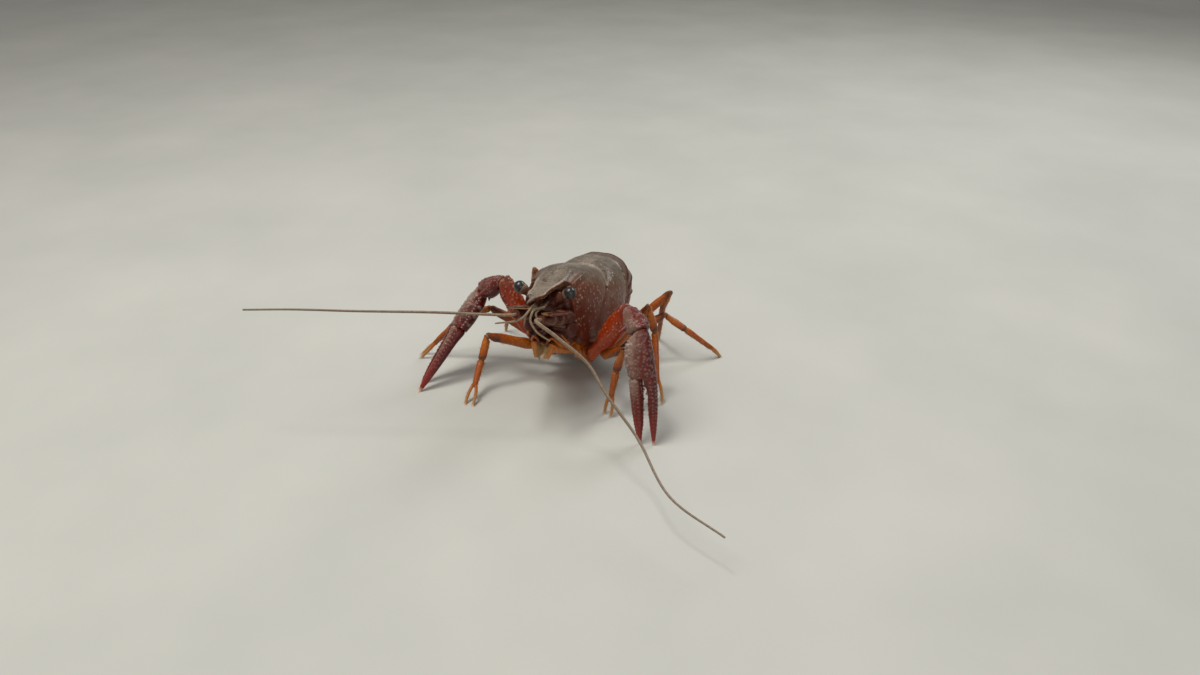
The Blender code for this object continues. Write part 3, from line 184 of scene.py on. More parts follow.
# Teeth of the fixed finger, the moving finger and the palm's mesial margin: (share, height, radius)
FIXED_TEETH = [(0.47, 0.3, 0.34), (0.54, 0.42, 0.4), (0.63, 0.28, 0.3), (0.73, 0.22, 0.26)]
FIXED_TEETH += [(0.52 + 0.034 * k, 0.12, 0.17) for k in range(14)]
MOVING_TEETH = [(0.5, 0.34, 0.36), (0.585, 0.26, 0.3), (0.68, 0.22, 0.26)]
MOVING_TEETH += [(0.52 + 0.034 * k, 0.12, 0.16) for k in range(14)]
MARGIN_TEETH = [(0.07 + 0.027 * k, 0.34, 0.27) for k in range(12)]
# Spines of the arm and wrist: (share of the length, angle from the mesial side, height, radius)
ARM_SPINES = [(0.87, 70, 0.9, 0.5), (0.8, 118, 0.6, 0.42), (0.62, -40, 0.45, 0.36), (0.72, -58, 0.5, 0.38)]
ARM_SPINES += [(0.84, -50, 0.6, 0.42), (0.7, -132, 0.45, 0.36), (0.83, -124, 0.6, 0.4)]
CARPUS_SPINES = [(0.62, 0, 1.5, 0.85), (0.7, -58, 0.7, 0.5), (0.74, 52, 0.5, 0.42), (0.5, 36, 0.4, 0.36)]
CARPUS_SPINES += [(0.34, 18, 0.4, 0.34), (0.62, 84, 0.35, 0.34), (0.4, 66, 0.3, 0.32), (0.74, 118, 0.3, 0.32)]
LIMB_SINK, TOOTH_SINK = 0.6, 0.4  # how deep the roots of spines and teeth lie

# Abdomen: radius of its curled back, angle at its start and turn of each segment, half widths at the joints
CURL_RADIUS = 10.6
CURL_START, CURL_STEPS = -8.0, (24.0, 30.0, 31.0, 31.0, 30.0, 30.0)
TAIL_HALF_WIDTH = (6.2, 6.5, 6.6, 6.4, 6.0, 5.5, 4.8)
AXIS_DEPTH = 4.0  # from the back of the abdomen down to the line its joints lie on
PLEURA = (0.6, 3.0, 3.1, 3.0, 2.8, 1.6)  # drop of each segment's side flap
# Back of a segment as shares of its half width and height, and its underside as (share, level)
TERGITE = [(0, 1.0), (0.25, 0.985), (0.5, 0.9), (0.72, 0.72), (0.88, 0.47), (0.97, 0.2)]
UNDERSIDE = [(1.0, -0.8), (0.95, -2.0), (0.86, None), (0.7, None), (0.62, -1.7), (0.3, -2.3)]
UNDERSIDE_MIDDLE = -2.4

# Tail fan
FAN_HEADING = -180.0
FAN_OFFSET = 2.7
# Half widths along the telson and along an inner or outer leaf
TELSON = [(0, 3.0), (0.1, 3.3), (0.55, 3.2), (0.62, 2.9), (0.85, 2.7), (0.97, 1.9), (1.0, 0.8)]
UROPOD = [(0, 0.9), (0.1, 1.1), (0.3, 1.8), (0.6, 2.25), (0.85, 2.1), (0.96, 1.4), (1.0, 0.6)]
# Side leaves: distance out from the middle, angle of spread, distance below the telson, and length
FAN = {"inner": (3.2, 20.0, 1.22, 7.6), "outer": (4.0, 42.0, 2.36, 7.9)}
FAN_LEAD = 0.9
TELSON_LENGTH, TELSON_THICK, UROPOD_THICK = 7.4, 0.55, 0.42
# Upper face of a leaf, as shares of its half width and of its thickness, with a middle rib
LEAF_FACE = [(1.0, 0.35), (0.5, 0.8), (0.12, 1.0), (-0.12, 1.0), (-0.5, 0.8), (-1.0, 0.35)]


def curve_at(stations, t):
    """Smooth value at t through a few (place, value) stations."""
    places = np.array([s[0] for s in stations], float)
    values = np.array([s[1] for s in stations], float)
    slopes = np.gradient(values, places)
    t = np.clip(np.asarray(t, float), places[0], places[-1])
    i = np.clip(np.searchsorted(places, t) - 1, 0, len(places) - 2)
    width = places[i + 1] - places[i]
    u = (t - places[i]) / width
    first = values[i] * (1 + 2 * u) * (1 - u) ** 2 + slopes[i] * width * u * (1 - u) ** 2
    return first + values[i + 1] * u * u * (3 - 2 * u) + slopes[i + 1] * width * u * u * (u - 1)


def unit(vector):
    vector = np.asarray(vector, float)
    return vector / np.linalg.norm(vector)


def direction(azimuth, elevation):
    """Unit vector: azimuth 0 is ahead of the animal, 90 is its left, and elevation is above the floor."""
    a, e = math.radians(azimuth), math.radians(elevation)
    return np.array([math.sin(a) * math.cos(e), -math.cos(a) * math.cos(e), math.sin(e)])


def body_axes():
    """Rows are the body's left, back and up directions in the world."""
    p, r = math.radians(BODY_PITCH), math.radians(BODY_ROLL)
    pitch = np.array([[1, 0, 0], [0, math.cos(p), -math.sin(p)], [0, math.sin(p), math.cos(p)]])
    roll = np.array([[math.cos(r), 0, math.sin(r)], [0, 1, 0], [-math.sin(r), 0, math.cos(r)]])
    return pitch @ roll


AXES = body_axes()


def to_world(points):
    """Body millimetres to world millimetres, before the final shift."""
    return (np.asarray(points, float) - BODY_PIVOT) @ AXES + np.array([0, 0, BODY_HEIGHT])


def turned(vector):
    """A body direction in the world."""
    return np.asarray(vector, float) @ AXES


def mirror_side(point, side):
    return np.asarray(point, float) * np.array([side, 1, 1])


def side_world(points, side):
    """World points of the left side's body points, mirrored for the right side."""
    return to_world([mirror_side(point, side) for point in points])


# Limb geometry, as in the CAD
def cross_axes(axis, hint):
    side = unit(np.cross(axis, hint))
    return side, np.cross(side, axis)


def oval(count, half_wide, half_deep, power):
    """Ring offsets of a superellipse, as (side, up) pairs."""
    angles = 2 * np.pi * (np.arange(count) + 0.5) / count
    c, s = np.cos(angles), np.sin(angles)
    wide = half_wide * np.sign(c) * np.abs(c) ** (2 / power)
    deep = half_deep * np.sign(s) * np.abs(s) ** (2 / power)
    return np.stack([wide, deep], axis=1)


def mitred(start, end, start_normal, end_normal, hint, section, stations, trims=(GAP / 2, GAP / 2)):
    """Rings from one joint plane to the next: every long line runs from plane to plane at its own offset."""
    length = np.linalg.norm(end - start)
    axis = (end - start) / length
    side, up = cross_axes(axis, hint)
    made = []
    for t in stations:
        offsets = section(t)
        across = offsets[:, :1] * side + offsets[:, 1:2] * up
        first = (trims[0] - across @ start_normal) / (axis @ start_normal)
        last = length + (-trims[1] - across @ end_normal) / (axis @ end_normal)
        along = first + (last - first) * t
        made.append(start + across + along[:, None] * axis)
    return made


def joint_normals(points, first, last):
    """Plane normals along a chain of points, each half way between the segments that meet there."""
    steps = [unit(b - a) for a, b in zip(points, points[1:])]
    inner = [unit(before + after) for before, after in zip(steps, steps[1:])]
    return [unit(first)] + inner + [unit(last)]


def tapered(widths, depths, sides=10, power=2.2, sag=None):
    """Section function of a limb part from (fraction, half size) stations, its middle line lowered by sag."""

    def section(t):
        low = curve_at(sag, t) if sag else 0.0
        return oval(sides, curve_at(widths, t), curve_at(depths, t), power) - np.array([0.0, low])

    return section


def socket_point(number, side):
    out, behind, level = SOCKETS[number]
    return to_world([(side * out, behind, level)])[0]


def socket_normal(number, side):
    """Normal of the joint plane where a leg leaves its socket, half way between socket and leg."""
    name = "left" if side == LEFT else "right"
    pose = CHELIPED_POSES[name] if number == 1 else LEG_POSES[(number, name)]
    return unit(turned((side, 0, -0.08)) + direction(*pose[0]))


def antenna_ends(name):
    """World points at both ends of a long feeler's base."""
    return to_world([mirror_side(ANTENNA_BASE, SIDES[name]), ANTENNA_END[name]])


def flagellum_route(name):
    """World points of a whip, which leaves the end of its base straight ahead and then bends."""
    base, end = antenna_ends(name)
    axis = unit(end - base)
    route = [end + GAP * axis, end + WHIP_LEAD * axis]
    return np.array(bent_route(route, FLAGELLUM_BENDS[name] + [FLAGELLUM_LAST[name]]))


def bent_route(route, stretches):
    """A route carried on by stretches of (length, azimuth, elevation)."""
    for length, azimuth, elevation in stretches:
        route.append(route[-1] + length * direction(azimuth, elevation))
    return route


def down_to_floor(points, length, azimuth):
    """Add a last stretch of a limb, whose slope is what reaches the floor."""
    slope = -math.degrees(math.asin(points[-1][2] / length))
    return bent_route(points, [(length, azimuth, slope)])


def leg_chain(number, name):
    """World points of a leg from its socket to the floor."""
    upper, wrist, hand = LEG_LENGTHS[number]
    upper_way, wrist_way, hand_azimuth = LEG_POSES[(number, name)]
    points = bent_route([socket_point(number, SIDES[name])], [(upper, *upper_way), (wrist, *wrist_way)])
    return down_to_floor(points, hand, hand_azimuth)


def scaled(stations, size):
    return [(t, value * size) for t, value in stations]


def cheliped_chain(name):
    """World points of a claw limb from its socket to the floor."""
    arm_way, wrist_way, claw_azimuth = CHELIPED_POSES[name]
    start = [socket_point(1, SIDES[name])]
    points = bent_route(start, [(ARM_LENGTH, *arm_way), (WRIST_LENGTH, *wrist_way)])
    return down_to_floor(points, CLAW_LENGTH[name], claw_azimuth)


def claw_axes(name):
    """Origin, axis, mesial and dorsal directions of a claw, and its length."""
    chain = cheliped_chain(name)
    axis = unit(chain[3] - chain[2])
    dorsal = direction(*CLAW_BACK[name])
    dorsal = unit(dorsal - (dorsal @ axis) * axis)
    mesial = np.cross(axis, dorsal) * SIDES[name]
    return chain[2], axis, mesial, dorsal, CLAW_LENGTH[name]


def heading(degrees):
    """Unit vector in the body's middle plane, which is level at 0 and turns down and under below it."""
    a = math.radians(degrees)
    return np.array([0.0, math.cos(a), math.sin(a)])


def curl_centre():
    """World point that the abdomen curls round."""
    top = to_world([(0, REAR_MARGIN[0][1], curve_at(TOP, REAR_MARGIN[0][1]))])[0]
    return top + GAP * heading(CURL_START) - CURL_RADIUS * dorsal_of(CURL_START)


def curl_point(angle):
    """World point on the abdomen's middle line."""
    return curl_centre() + (CURL_RADIUS - AXIS_DEPTH) * dorsal_of(angle)


def curl():
    """World points and plane normals of the abdomen's joints, and their angles on the curl."""
    angles = CURL_START - np.concatenate([[0], np.cumsum(CURL_STEPS)])
    return [curl_point(a) for a in angles], [heading(a) for a in angles], angles


def dorsal_of(angle):
    return heading(angle + 90)


# Shapes
KEYS = ("tone", "stud", "tip")  # numbers that a shape hands to its material, 0 to 1
SHARP_ANGLE = math.radians(62)
ANY_WAY, ANY_HAIR_WAY = (0.31, 0.22, 0.92), (0.3, 0.5, 0.81)  # no tube, spine or hair runs along these


class Shape:
    """Points in world millimetres before the shift, quads, triangles and one number a point for each key."""

    def __init__(self, points, quads, tris, values):
        self.points = np.asarray(points, float).reshape(-1, 3)
        self.quads = np.asarray(quads, int).reshape(-1, 4)
        self.tris = np.asarray(tris, int).reshape(-1, 3)
        self.values = {}
        for key in KEYS:
            value = np.asarray(values.get(key, 0.0), float)
            self.values[key] = value.ravel() if value.ndim else np.full(len(self.points), float(value))

    def outward(self):
        """Turn the faces round where they face inwards."""
        corners = np.concatenate([self.tris, self.quads[:, [0, 1, 2]], self.quads[:, [0, 2, 3]]])
        p = self.points - self.points.mean(axis=0)
        volume = np.einsum("ij,ij->i", p[corners[:, 0]], np.cross(p[corners[:, 1]], p[corners[:, 2]])).sum()
        if volume < 0:
            self.quads, self.tris = self.quads[:, ::-1], self.tris[:, ::-1]
        return self


def solid(rings, start=None, **values):
    """Closed shape through a grid of rings, (rows, around, 3), with fans at both ends."""
    rows, around = rings.shape[:2]
    index = np.arange(rows * around).reshape(rows, around)
    after = np.roll(index, -1, axis=1)
    quads = np.stack([index[:-1], after[:-1], after[1:], index[1:]], axis=-1)
    first, last = np.full(around, rows * around), np.full(around, rows * around + 1)
    ends = [np.stack([first, after[0], index[0]], 1), np.stack([last, index[-1], after[-1]], 1)]
    start = rings[0].mean(axis=0) if start is None else start
    points = np.concatenate([rings.reshape(-1, 3), [start], [rings[-1].mean(axis=0)]])
    full = {}
    for key, value in values.items():
        value = np.broadcast_to(np.asarray(value, float), (rows, around))
        full[key] = np.concatenate([value.ravel(), [value[0].mean(), value[-1].mean()]])
    return Shape(points, quads, np.concatenate(ends), full).outward()


def piece(name, shapes, skin, slot, *nodes):
    """One object from closed shapes, riding on the body and standing for the given nodes."""
    points, faces, start = [], [], 0
    for shape in shapes:
        place = shape.points + SHIFT
        place[:, 2] = np.maximum(place[:, 2], 0.0)
        points.append(place * MM)
        faces += (shape.quads + start).tolist() + (shape.tris + start).tolist()
        start += len(shape.points)
    mesh = bpy.data.meshes.new(name)
    mesh.from_pydata(np.concatenate(points), [], faces)
    for key in KEYS:
        values = np.concatenate([shape.values[key] for shape in shapes]).astype(np.float32)
        mesh.attributes.new(key, "FLOAT", "POINT").data.foreach_set("value", values)
    mesh.materials.append(skin)
    mesh.shade_smooth()
    mesh.set_sharp_from_angle(angle=SHARP_ANGLE)
    obj = bpy.data.objects.new(name, mesh)
    bpy.context.scene.collection.objects.link(obj)
    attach(obj, "root")
    if nodes:
        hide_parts(*nodes)


def raised(rings, normals, high):
    """A grid moved out along its normals."""
    return rings + normals * high[..., None]


def toward(normals, way):
    """How far each normal of a grid points along a direction."""
    return np.einsum("ijk,k->ij", normals, way)


def column(values):
    """One value for each row of a grid."""
    return np.asarray(values)[:, None]


def normals_of(rings):
    """Outward unit normals of a grid that is closed around."""
    along = np.gradient(rings, axis=0)
    around = (np.roll(rings, -1, axis=1) - np.roll(rings, 1, axis=1)) / 2
    n = np.cross(around, along)
    n /= np.linalg.norm(n, axis=2, keepdims=True) + 1e-9
    out = rings - rings.mean(axis=1, keepdims=True)
    return n if (n * out).sum() > 0 else -n


def rough(points, scale, seed=0.0):
    """Smooth noise, about -0.5 to 0.5, at points in millimetres."""
    flat = np.asarray(points, float).reshape(-1, 3) * scale + seed
    values = np.array([noise.noise(Vector(p)) for p in flat])
    return values.reshape(np.shape(points)[:-1])


def studs_on(rings, studs):
    """Height field and mask on a grid of tubercles, each (point near the surface, radius, height)."""
    height, mask = np.zeros(rings.shape[:2]), np.zeros(rings.shape[:2])
    for centre, radius, tall in studs:
        near = np.clip(1 - ((rings - centre) ** 2).sum(axis=2) / radius**2, 0, 1)
        height = np.maximum(height, tall * near**1.6)
        mask = np.maximum(mask, near**2)
    return height, mask


def round_ring(axis, sides):
    """Unit circle round an axis."""
    side, up = cross_axes(axis, ANY_WAY)
    turn = 2 * np.pi * np.arange(sides) / sides
    return np.cos(turn)[:, None] * side + np.sin(turn)[:, None] * up


def cone(root, peak, radius, sides=12, rows=9, blunt=0.14, **values):
    """Spine: round, slightly hollow-sided and blunt at its tip."""
    root = np.asarray(root, float)
    axis = np.asarray(peak, float) - root
    t = np.linspace(0, 1, rows)
    size = radius * ((1 - t) ** 1.15 * (1 - blunt) + blunt * np.sqrt(np.clip(1 - t**4, 0, 1)))
    rings = root + t[:, None, None] * axis + size[:, None, None] * round_ring(unit(axis), sides)
    return solid(rings, **{"tip": column(t) ** 1.5, **values})


def side_spines(points, radii, **values):
    """The same spine on both sides, from the left one's body points."""
    return [cone(*side_world(points, side), radii, **values) for side in (LEFT, RIGHT)]


def hairs(roots, ways, lengths, radius, **values):
    """Fine three-sided hairs as one shape."""
    roots = np.asarray(roots, float)
    ways = np.broadcast_to(np.asarray(ways, float), roots.shape)
    ways = ways / np.linalg.norm(ways, axis=1, keepdims=True)
    lengths = np.broadcast_to(np.asarray(lengths, float), len(roots))[:, None]
    side = np.cross(ways, ANY_HAIR_WAY)
    side /= np.linalg.norm(side, axis=1, keepdims=True)
    up = np.cross(side, ways)
    rows = []
    for share, size in ((0.0, 1.0), (0.55, 0.7)):
        for turn in (0.0, 2.094, 4.189):
            out = math.cos(turn) * side + math.sin(turn) * up
            rows.append(roots + ways * lengths * share + radius * size * out)
    rows.append(roots + ways * lengths)
    base = (np.arange(len(roots)) * len(rows))[:, None]
    quads = np.concatenate([base + q for q in ((0, 1, 4, 3), (1, 2, 5, 4), (2, 0, 3, 5))])
    tris = np.concatenate([base + t for t in ((3, 4, 6), (4, 5, 6), (5, 3, 6), (2, 1, 0))])
    return Shape(np.stack(rows, axis=1), quads, tris, values).outward()


def ball(centre, size, sides=24, rows=14, **values):
    """Ellipsoid with half sizes along the world's axes, or a number for a sphere."""
    size = np.broadcast_to(np.asarray(size, float), 3)
    t = np.linspace(0.02, 0.98, rows) * np.pi
    turn = 2 * np.pi * np.arange(sides) / sides
    ring = np.stack([np.outer(np.sin(t), np.cos(turn)), np.outer(np.sin(t), np.sin(turn))], axis=-1)
    rings = np.concatenate([ring, np.broadcast_to(np.cos(t)[:, None, None], (rows, sides, 1))], axis=-1)
    return solid(np.asarray(centre) + rings * size, **values)


def smooth_path(route, count):
    """Evenly spaced points on a smooth curve through a route, and the distance along it."""
    route = np.asarray(route, float)
    reach = np.concatenate([[0], np.cumsum(np.linalg.norm(np.diff(route, axis=0), axis=1))])
    places = np.linspace(0, reach[-1], count)
    return np.stack([curve_at(list(zip(reach, route[:, k])), places) for k in range(3)], axis=1), places


def sweep(path, radii, sides, **values):
    """Tube along dense points, its rings carried along without twist."""
    ways = np.gradient(path, axis=0)
    ways /= np.linalg.norm(ways, axis=1, keepdims=True)
    side = unit(np.cross(ways[0], ANY_WAY))
    turn = 2 * np.pi * np.arange(sides) / sides
    rings = []
    for point, way, radius in zip(path, ways, radii):
        side = unit(side - (side @ way) * way)
        up = np.cross(side, way)
        rings.append(point + radius * (np.cos(turn)[:, None] * side + np.sin(turn)[:, None] * up))
    return solid(np.array(rings), **values)


def side_tube(route, side, count):
    """Dense world points through a left-side route, and their shares of its length."""
    path, places = smooth_path(side_world(route, side), count)
    return path, places / places[-1]


def whip(route, radii, pitch, sides=10):
    """Feeler made of many short rings, each a little wider at its far end."""
    length = smooth_path(route, 40)[1][-1]
    path, places = smooth_path(route, int(length / pitch) * 4)
    t = places / places[-1]
    size = radii[0] + (radii[1] - radii[0]) * t
    size = size * (1 + 0.09 * (((places / pitch) % 1.0) - 0.5))
    return sweep(path, size, sides, tone=column(0.6 * t))


# Materials
class Tree:
    """Short hand for making a material's nodes."""

    def __init__(self, name):
        self.material = bpy.data.materials.new(name)
        self.material.use_nodes = True
        self.tree = self.material.node_tree
        self.shader = self.tree.nodes["Principled BSDF"]
        place = self.new("ShaderNodeTexCoord")
        scale = self.new("ShaderNodeMapping", Scale=(1000, 1000, 1000))
        self.tree.links.new(place.outputs["Object"], scale.inputs["Vector"])
        self.place = scale.outputs["Vector"]

    def new(self, kind, settings=(), **inputs):
        """A node with some settings, and values or links for its inputs."""
        node = self.tree.nodes.new(kind)
        for key, value in dict(settings).items():
            setattr(node, key, value)
        for key, value in inputs.items():
            self.feed(node.inputs[key.replace("_", " ")], value)
        return node

    def feed(self, target, value):
        if isinstance(value, bpy.types.NodeSocket):
            self.tree.links.new(value, target)
        else:
            target.default_value = value

    def key(self, name):
        return self.new("ShaderNodeAttribute", {"attribute_name": name}).outputs["Fac"]

    def math(self, operation, a, b):
        node = self.new("ShaderNodeMath", {"operation": operation})
        self.feed(node.inputs[0], a)
        self.feed(node.inputs[1], b)
        return node.outputs[0]

    def times(self, a, b):
        return self.math("MULTIPLY", a, b)

    def noise(self, **inputs):
        return self.new("ShaderNodeTexNoise", Vector=self.place, **inputs)

    def grain(self, scale, detail, roughness=0.55):
        """Noise of so many cycles a millimetre, 0 to 1."""
        return self.noise(Scale=scale, Detail=detail, Roughness=roughness).outputs["Fac"]

    def cells(self, scale, feature="F1", jitter=1.0, warp=0.0):
        """Distance to the nearest cell's point or edge, in wavy cells where warp isn't 0."""
        place = self.place
        if warp:
            wave = self.noise(Scale=1.4).outputs["Color"]
            shift = self.new("ShaderNodeVectorMath", {"operation": "MULTIPLY_ADD"})
            for target, value in zip(shift.inputs, (wave, (warp, warp, warp), place)):
                self.feed(target, value)
            place = shift.outputs["Vector"]
        inputs = {"Vector": place, "Scale": scale, "Randomness": jitter}
        return self.new("ShaderNodeTexVoronoi", {"feature": feature}, **inputs).outputs["Distance"]

    def span(self, value, low, high, to_low=0.0, to_high=1.0):
        """A value brought from one range to another."""
        ends = {"From Min": low, "From Max": high, "To Min": to_low, "To Max": to_high}
        return self.new("ShaderNodeMapRange", Value=value, **ends).outputs["Result"]

    def mix(self, share, a, b, blend="MIX"):
        """Mixed colour; inputs 6 and 7 of the node are its two colours."""
        node = self.new("ShaderNodeMix", {"data_type": "RGBA", "blend_type": blend})
        self.feed(node.inputs[0], share)
        for socket, value in ((node.inputs[6], a), (node.inputs[7], b)):
            self.feed(socket, value if isinstance(value, bpy.types.NodeSocket) else (*value, 1))
        return node.outputs[2]

    def darker(self, colour, shade):
        return self.mix(1.0, colour, shade, "MULTIPLY")

    def ramp(self, share, stops):
        node = self.new("ShaderNodeValToRGB", Fac=share)
        elements = node.color_ramp.elements
        while len(elements) < len(stops):
            elements.new(0.5)
        for element, (place, colour) in zip(elements, stops):
            element.position = place
            element.color = (*colour, 1)
        return node.outputs["Color"]

    def bump(self, height, distance, **inputs):
        return self.new("ShaderNodeBump", Height=height, Distance=distance * MM, **inputs).outputs["Normal"]

    def set(self, **inputs):
        """Feed the shader's inputs, whose names are written with _ for a space."""
        for key, value in inputs.items():
            self.feed(self.shader.inputs[key.replace("_", " ")], value)
        return self.material


SHADE, VEIN_SHADE = (0.52, 0.49, 0.46), (0.44, 0.4, 0.36)
SPREAD, SPREAD_SCALE = (1.0, 0.36, 0.12), 0.6 * MM  # how far red, green and blue light go under the surface


def shell_skin(name, stops, mottle=0.25, speck_and_glint=0.35, pale=(0.42, 0.33, 0.24), rough_range=(0.34, 0.56),
               coat=0.2, pit=0.05, grit=0.02, depth=0.0, tip=None, end=None, veins=0.0, shine=0.3):
    """Hard wet shell: a colour from the tone key, broken by mottling, pale specks that are partly painted
    glints, pits and fine grain.
    """
    m = Tree(name)
    cloud, fine = m.grain(0.32, 5.0), m.grain(2.6, 6.0, 0.65)
    colour = m.ramp(m.math("ADD", m.key("tone"), m.times(m.math("SUBTRACT", cloud, 0.5), mottle)), stops)
    colour = m.mix(m.span(fine, 0.36, 0.66), m.darker(colour, SHADE), colour)
    if veins:
        net = m.span(m.cells(1.25, "DISTANCE_TO_EDGE", warp=0.5), 0.02, 0.22, 1.0, 0.0)
        net = m.times(net, m.span(m.grain(0.7, 3.0), 0.42, 0.58))
        net = m.times(net, m.span(m.key("tone"), 0.7, 0.3))
        colour = m.mix(m.times(net, veins), colour, m.darker(colour, VEIN_SHADE))
    # Pale specks, partly the shell's own pale dots and partly painted glints of light on its bumps
    dots = m.span(m.cells(1.9), 0.06, 0.2, 1.0, 0.0)
    some = m.span(m.grain(0.55, 2.0), 0.48, 0.62)
    colour = m.mix(m.times(m.times(dots, some), speck_and_glint), colour, pale)
    colour = m.mix(m.times(m.key("stud"), 0.75), colour, pale)
    if tip:
        colour = m.mix(m.span(m.key("tip"), 0.35, 0.9), colour, tip)
    if end:
        colour = m.mix(m.span(m.key("tip"), 0.9, 0.985), colour, end)
    pits = m.bump(m.span(m.cells(3.1, jitter=0.9), 0.0, 0.3), pit)
    normal = m.bump(m.grain(6.0, 5.0), grit, Normal=pits)
    polish = m.span(m.math("ADD", m.times(fine, 0.6), m.times(cloud, 0.4)), 0.35, 0.65, *rough_range)
    if depth:
        m.set(Subsurface_Weight=depth, Subsurface_Radius=SPREAD, Subsurface_Scale=SPREAD_SCALE)
    return m.set(Base_Color=colour, Roughness=polish, Normal=normal, Coat_Weight=coat, Coat_Roughness=0.2,
                 Specular_IOR_Level=shine)


# Looks of the hard skins; stops are (tone, colour)
SKINS = {
    "shell": dict(stops=[
        (0.0, (0.29, 0.24, 0.19)), (0.2, (0.17, 0.128, 0.093)), (0.38, (0.165, 0.1, 0.058)),
        (0.52, (0.18, 0.058, 0.02)), (0.68, (0.155, 0.028, 0.008)), (0.88, (0.125, 0.019, 0.005)),
        (0.96, (0.26, 0.05, 0.01)), (1.0, (0.36, 0.09, 0.014)),
    ], mottle=0.48, speck_and_glint=0.36, veins=0.85, pit=0.07, shine=0.26),
    "head": dict(stops=[
        (0.0, (0.37, 0.3, 0.225)), (0.35, (0.25, 0.155, 0.09)), (0.6, (0.15, 0.05, 0.024)),
        (0.85, (0.11, 0.02, 0.007)), (1.0, (0.09, 0.012, 0.004)),
    ], mottle=0.26, speck_and_glint=0.25),
    "tail": dict(stops=[
        (0.0, (0.17, 0.12, 0.085)), (0.3, (0.14, 0.07, 0.04)), (0.55, (0.15, 0.04, 0.017)),
        (0.8, (0.17, 0.036, 0.012)), (1.0, (0.36, 0.12, 0.03)),
    ], mottle=0.42, pit=0.04, veins=0.4),
    # Claw tones run from dark red up to the grey-lilac of the painted sheen at 1.0
    "claw": dict(stops=[
        (0.0, (0.1, 0.005, 0.003)), (0.35, (0.165, 0.012, 0.006)), (0.55, (0.19, 0.036, 0.022)),
        (0.75, (0.235, 0.1, 0.072)), (1.0, (0.4, 0.265, 0.21)),
    ], mottle=0.44, speck_and_glint=0.3, pale=(0.5, 0.42, 0.37), coat=0.24, shine=0.26, rough_range=(0.26, 0.42),
        pit=0.06, grit=0.03, tip=(0.24, 0.016, 0.01), end=(0.75, 0.52, 0.38)),
    "arm": dict(stops=[
        (0.0, (0.52, 0.085, 0.004)), (0.35, (0.46, 0.045, 0.003)), (0.65, (0.3, 0.026, 0.004)),
        (1.0, (0.19, 0.05, 0.03)),
    ], mottle=0.35, speck_and_glint=0.5, pale=(0.55, 0.3, 0.14), rough_range=(0.28, 0.46), pit=0.04, depth=0.12,
        tip=(0.5, 0.22, 0.1)),
    "leg": dict(stops=[
        (0.0, (0.2, 0.045, 0.006)), (0.09, (0.46, 0.115, 0.007)), (0.3, (0.6, 0.17, 0.01)),
        (0.62, (0.52, 0.122, 0.007)), (0.82, (0.4, 0.08, 0.005)), (0.92, (0.12, 0.027, 0.005)),
        (1.0, (0.28, 0.075, 0.008)),
    ], mottle=0.5, speck_and_glint=0.2, pale=(0.5, 0.25, 0.08), rough_range=(0.32, 0.5), pit=0.025, grit=0.015,
        depth=0.15, tip=(0.46, 0.24, 0.08), end=(0.72, 0.56, 0.42)),
    "membrane": dict(stops=[(0.0, (0.36, 0.16, 0.05)), (1.0, (0.3, 0.1, 0.03))],
                     speck_and_glint=0.0, rough_range=(0.35, 0.5), coat=0.15, pit=0.02, depth=0.3),
    "feeler": dict(stops=[(0.0, (0.34, 0.24, 0.15)), (0.15, (0.24, 0.165, 0.1)), (0.6, (0.27, 0.2, 0.13))],
                   mottle=0.18, speck_and_glint=0.0, rough_range=(0.3, 0.45), pit=0.01, grit=0.01),
    "pale": dict(stops=[
        (0.0, (0.42, 0.32, 0.21)), (0.6, (0.34, 0.23, 0.14)), (0.8, (0.15, 0.06, 0.03)),
        (1.0, (0.08, 0.02, 0.008)),
    ], mottle=0.15, speck_and_glint=0.1, rough_range=(0.3, 0.45), pit=0.02, grit=0.01, depth=0.1),
}
HAIR_ROOT, HAIR_TIP = (0.2, 0.1, 0.035), (0.46, 0.29, 0.12)
CORNEA_DARK, CORNEA_LIGHT = (0.006, 0.006, 0.006), (0.022, 0.02, 0.018)
FACETS = 14.0  # of an eye, to a millimetre


def make_skins():
    skins = {name: shell_skin("crayfish_" + name, **look) for name, look in SKINS.items()}
    hair = Tree("crayfish_hair")
    colour = hair.ramp(hair.key("tip"), [(0.0, HAIR_ROOT), (1.0, HAIR_TIP)])
    skins["hair"] = hair.set(Base_Color=colour, Roughness=0.5)
    eye = Tree("crayfish_eye")
    colour = eye.ramp(eye.grain(0.9, 3.0), [(0.3, CORNEA_DARK), (0.8, CORNEA_LIGHT)])
    eye.set(Base_Color=colour, Roughness=0.34, Coat_Weight=0.3, Coat_Roughness=0.12)
    skins["eye"] = eye.set(Normal=eye.bump(eye.cells(FACETS), 0.004))
    return skins


# Carapace
def shell(y, angle):
    """Body points on the shell at distances behind the eyes and angles from the top, left side."""
    y, angle = np.broadcast_arrays(np.asarray(y, float), np.asarray(angle, float))
    wide, top = curve_at(HALF_WIDTH, y), curve_at(TOP, y)
    level, low = curve_at(WIDEST_LEVEL, y), curve_at(LOWER_EDGE, y)
    a = np.radians(np.minimum(angle, 90))
    fall = np.clip((angle - 90) / (EDGE_ANGLE - 90), 0, 1)
    upper = angle <= 90
    x = np.where(upper, wide * np.sin(a) ** 0.85, wide * (1 - TUCK * fall**2))
    rise = (top - level) * np.clip(np.cos(a), 0, 1) ** 0.8
    z = level + np.where(upper, rise, (low - level) * fall**0.9)
    fade = np.clip((GROOVE_END - 8 - angle) / 62, 0, 1)
    dent = GROOVE_DEPTH * fade * bell(y - curve_at(CERVICAL_GROOVE, angle), GROOVE_HALF_WIDTH)
    inward = np.stack([x, np.zeros_like(x), z - level], axis=-1)
    inward /= np.linalg.norm(inward, axis=-1, keepdims=True)
    return np.stack([x, y, z], axis=-1) - dent[..., None] * inward


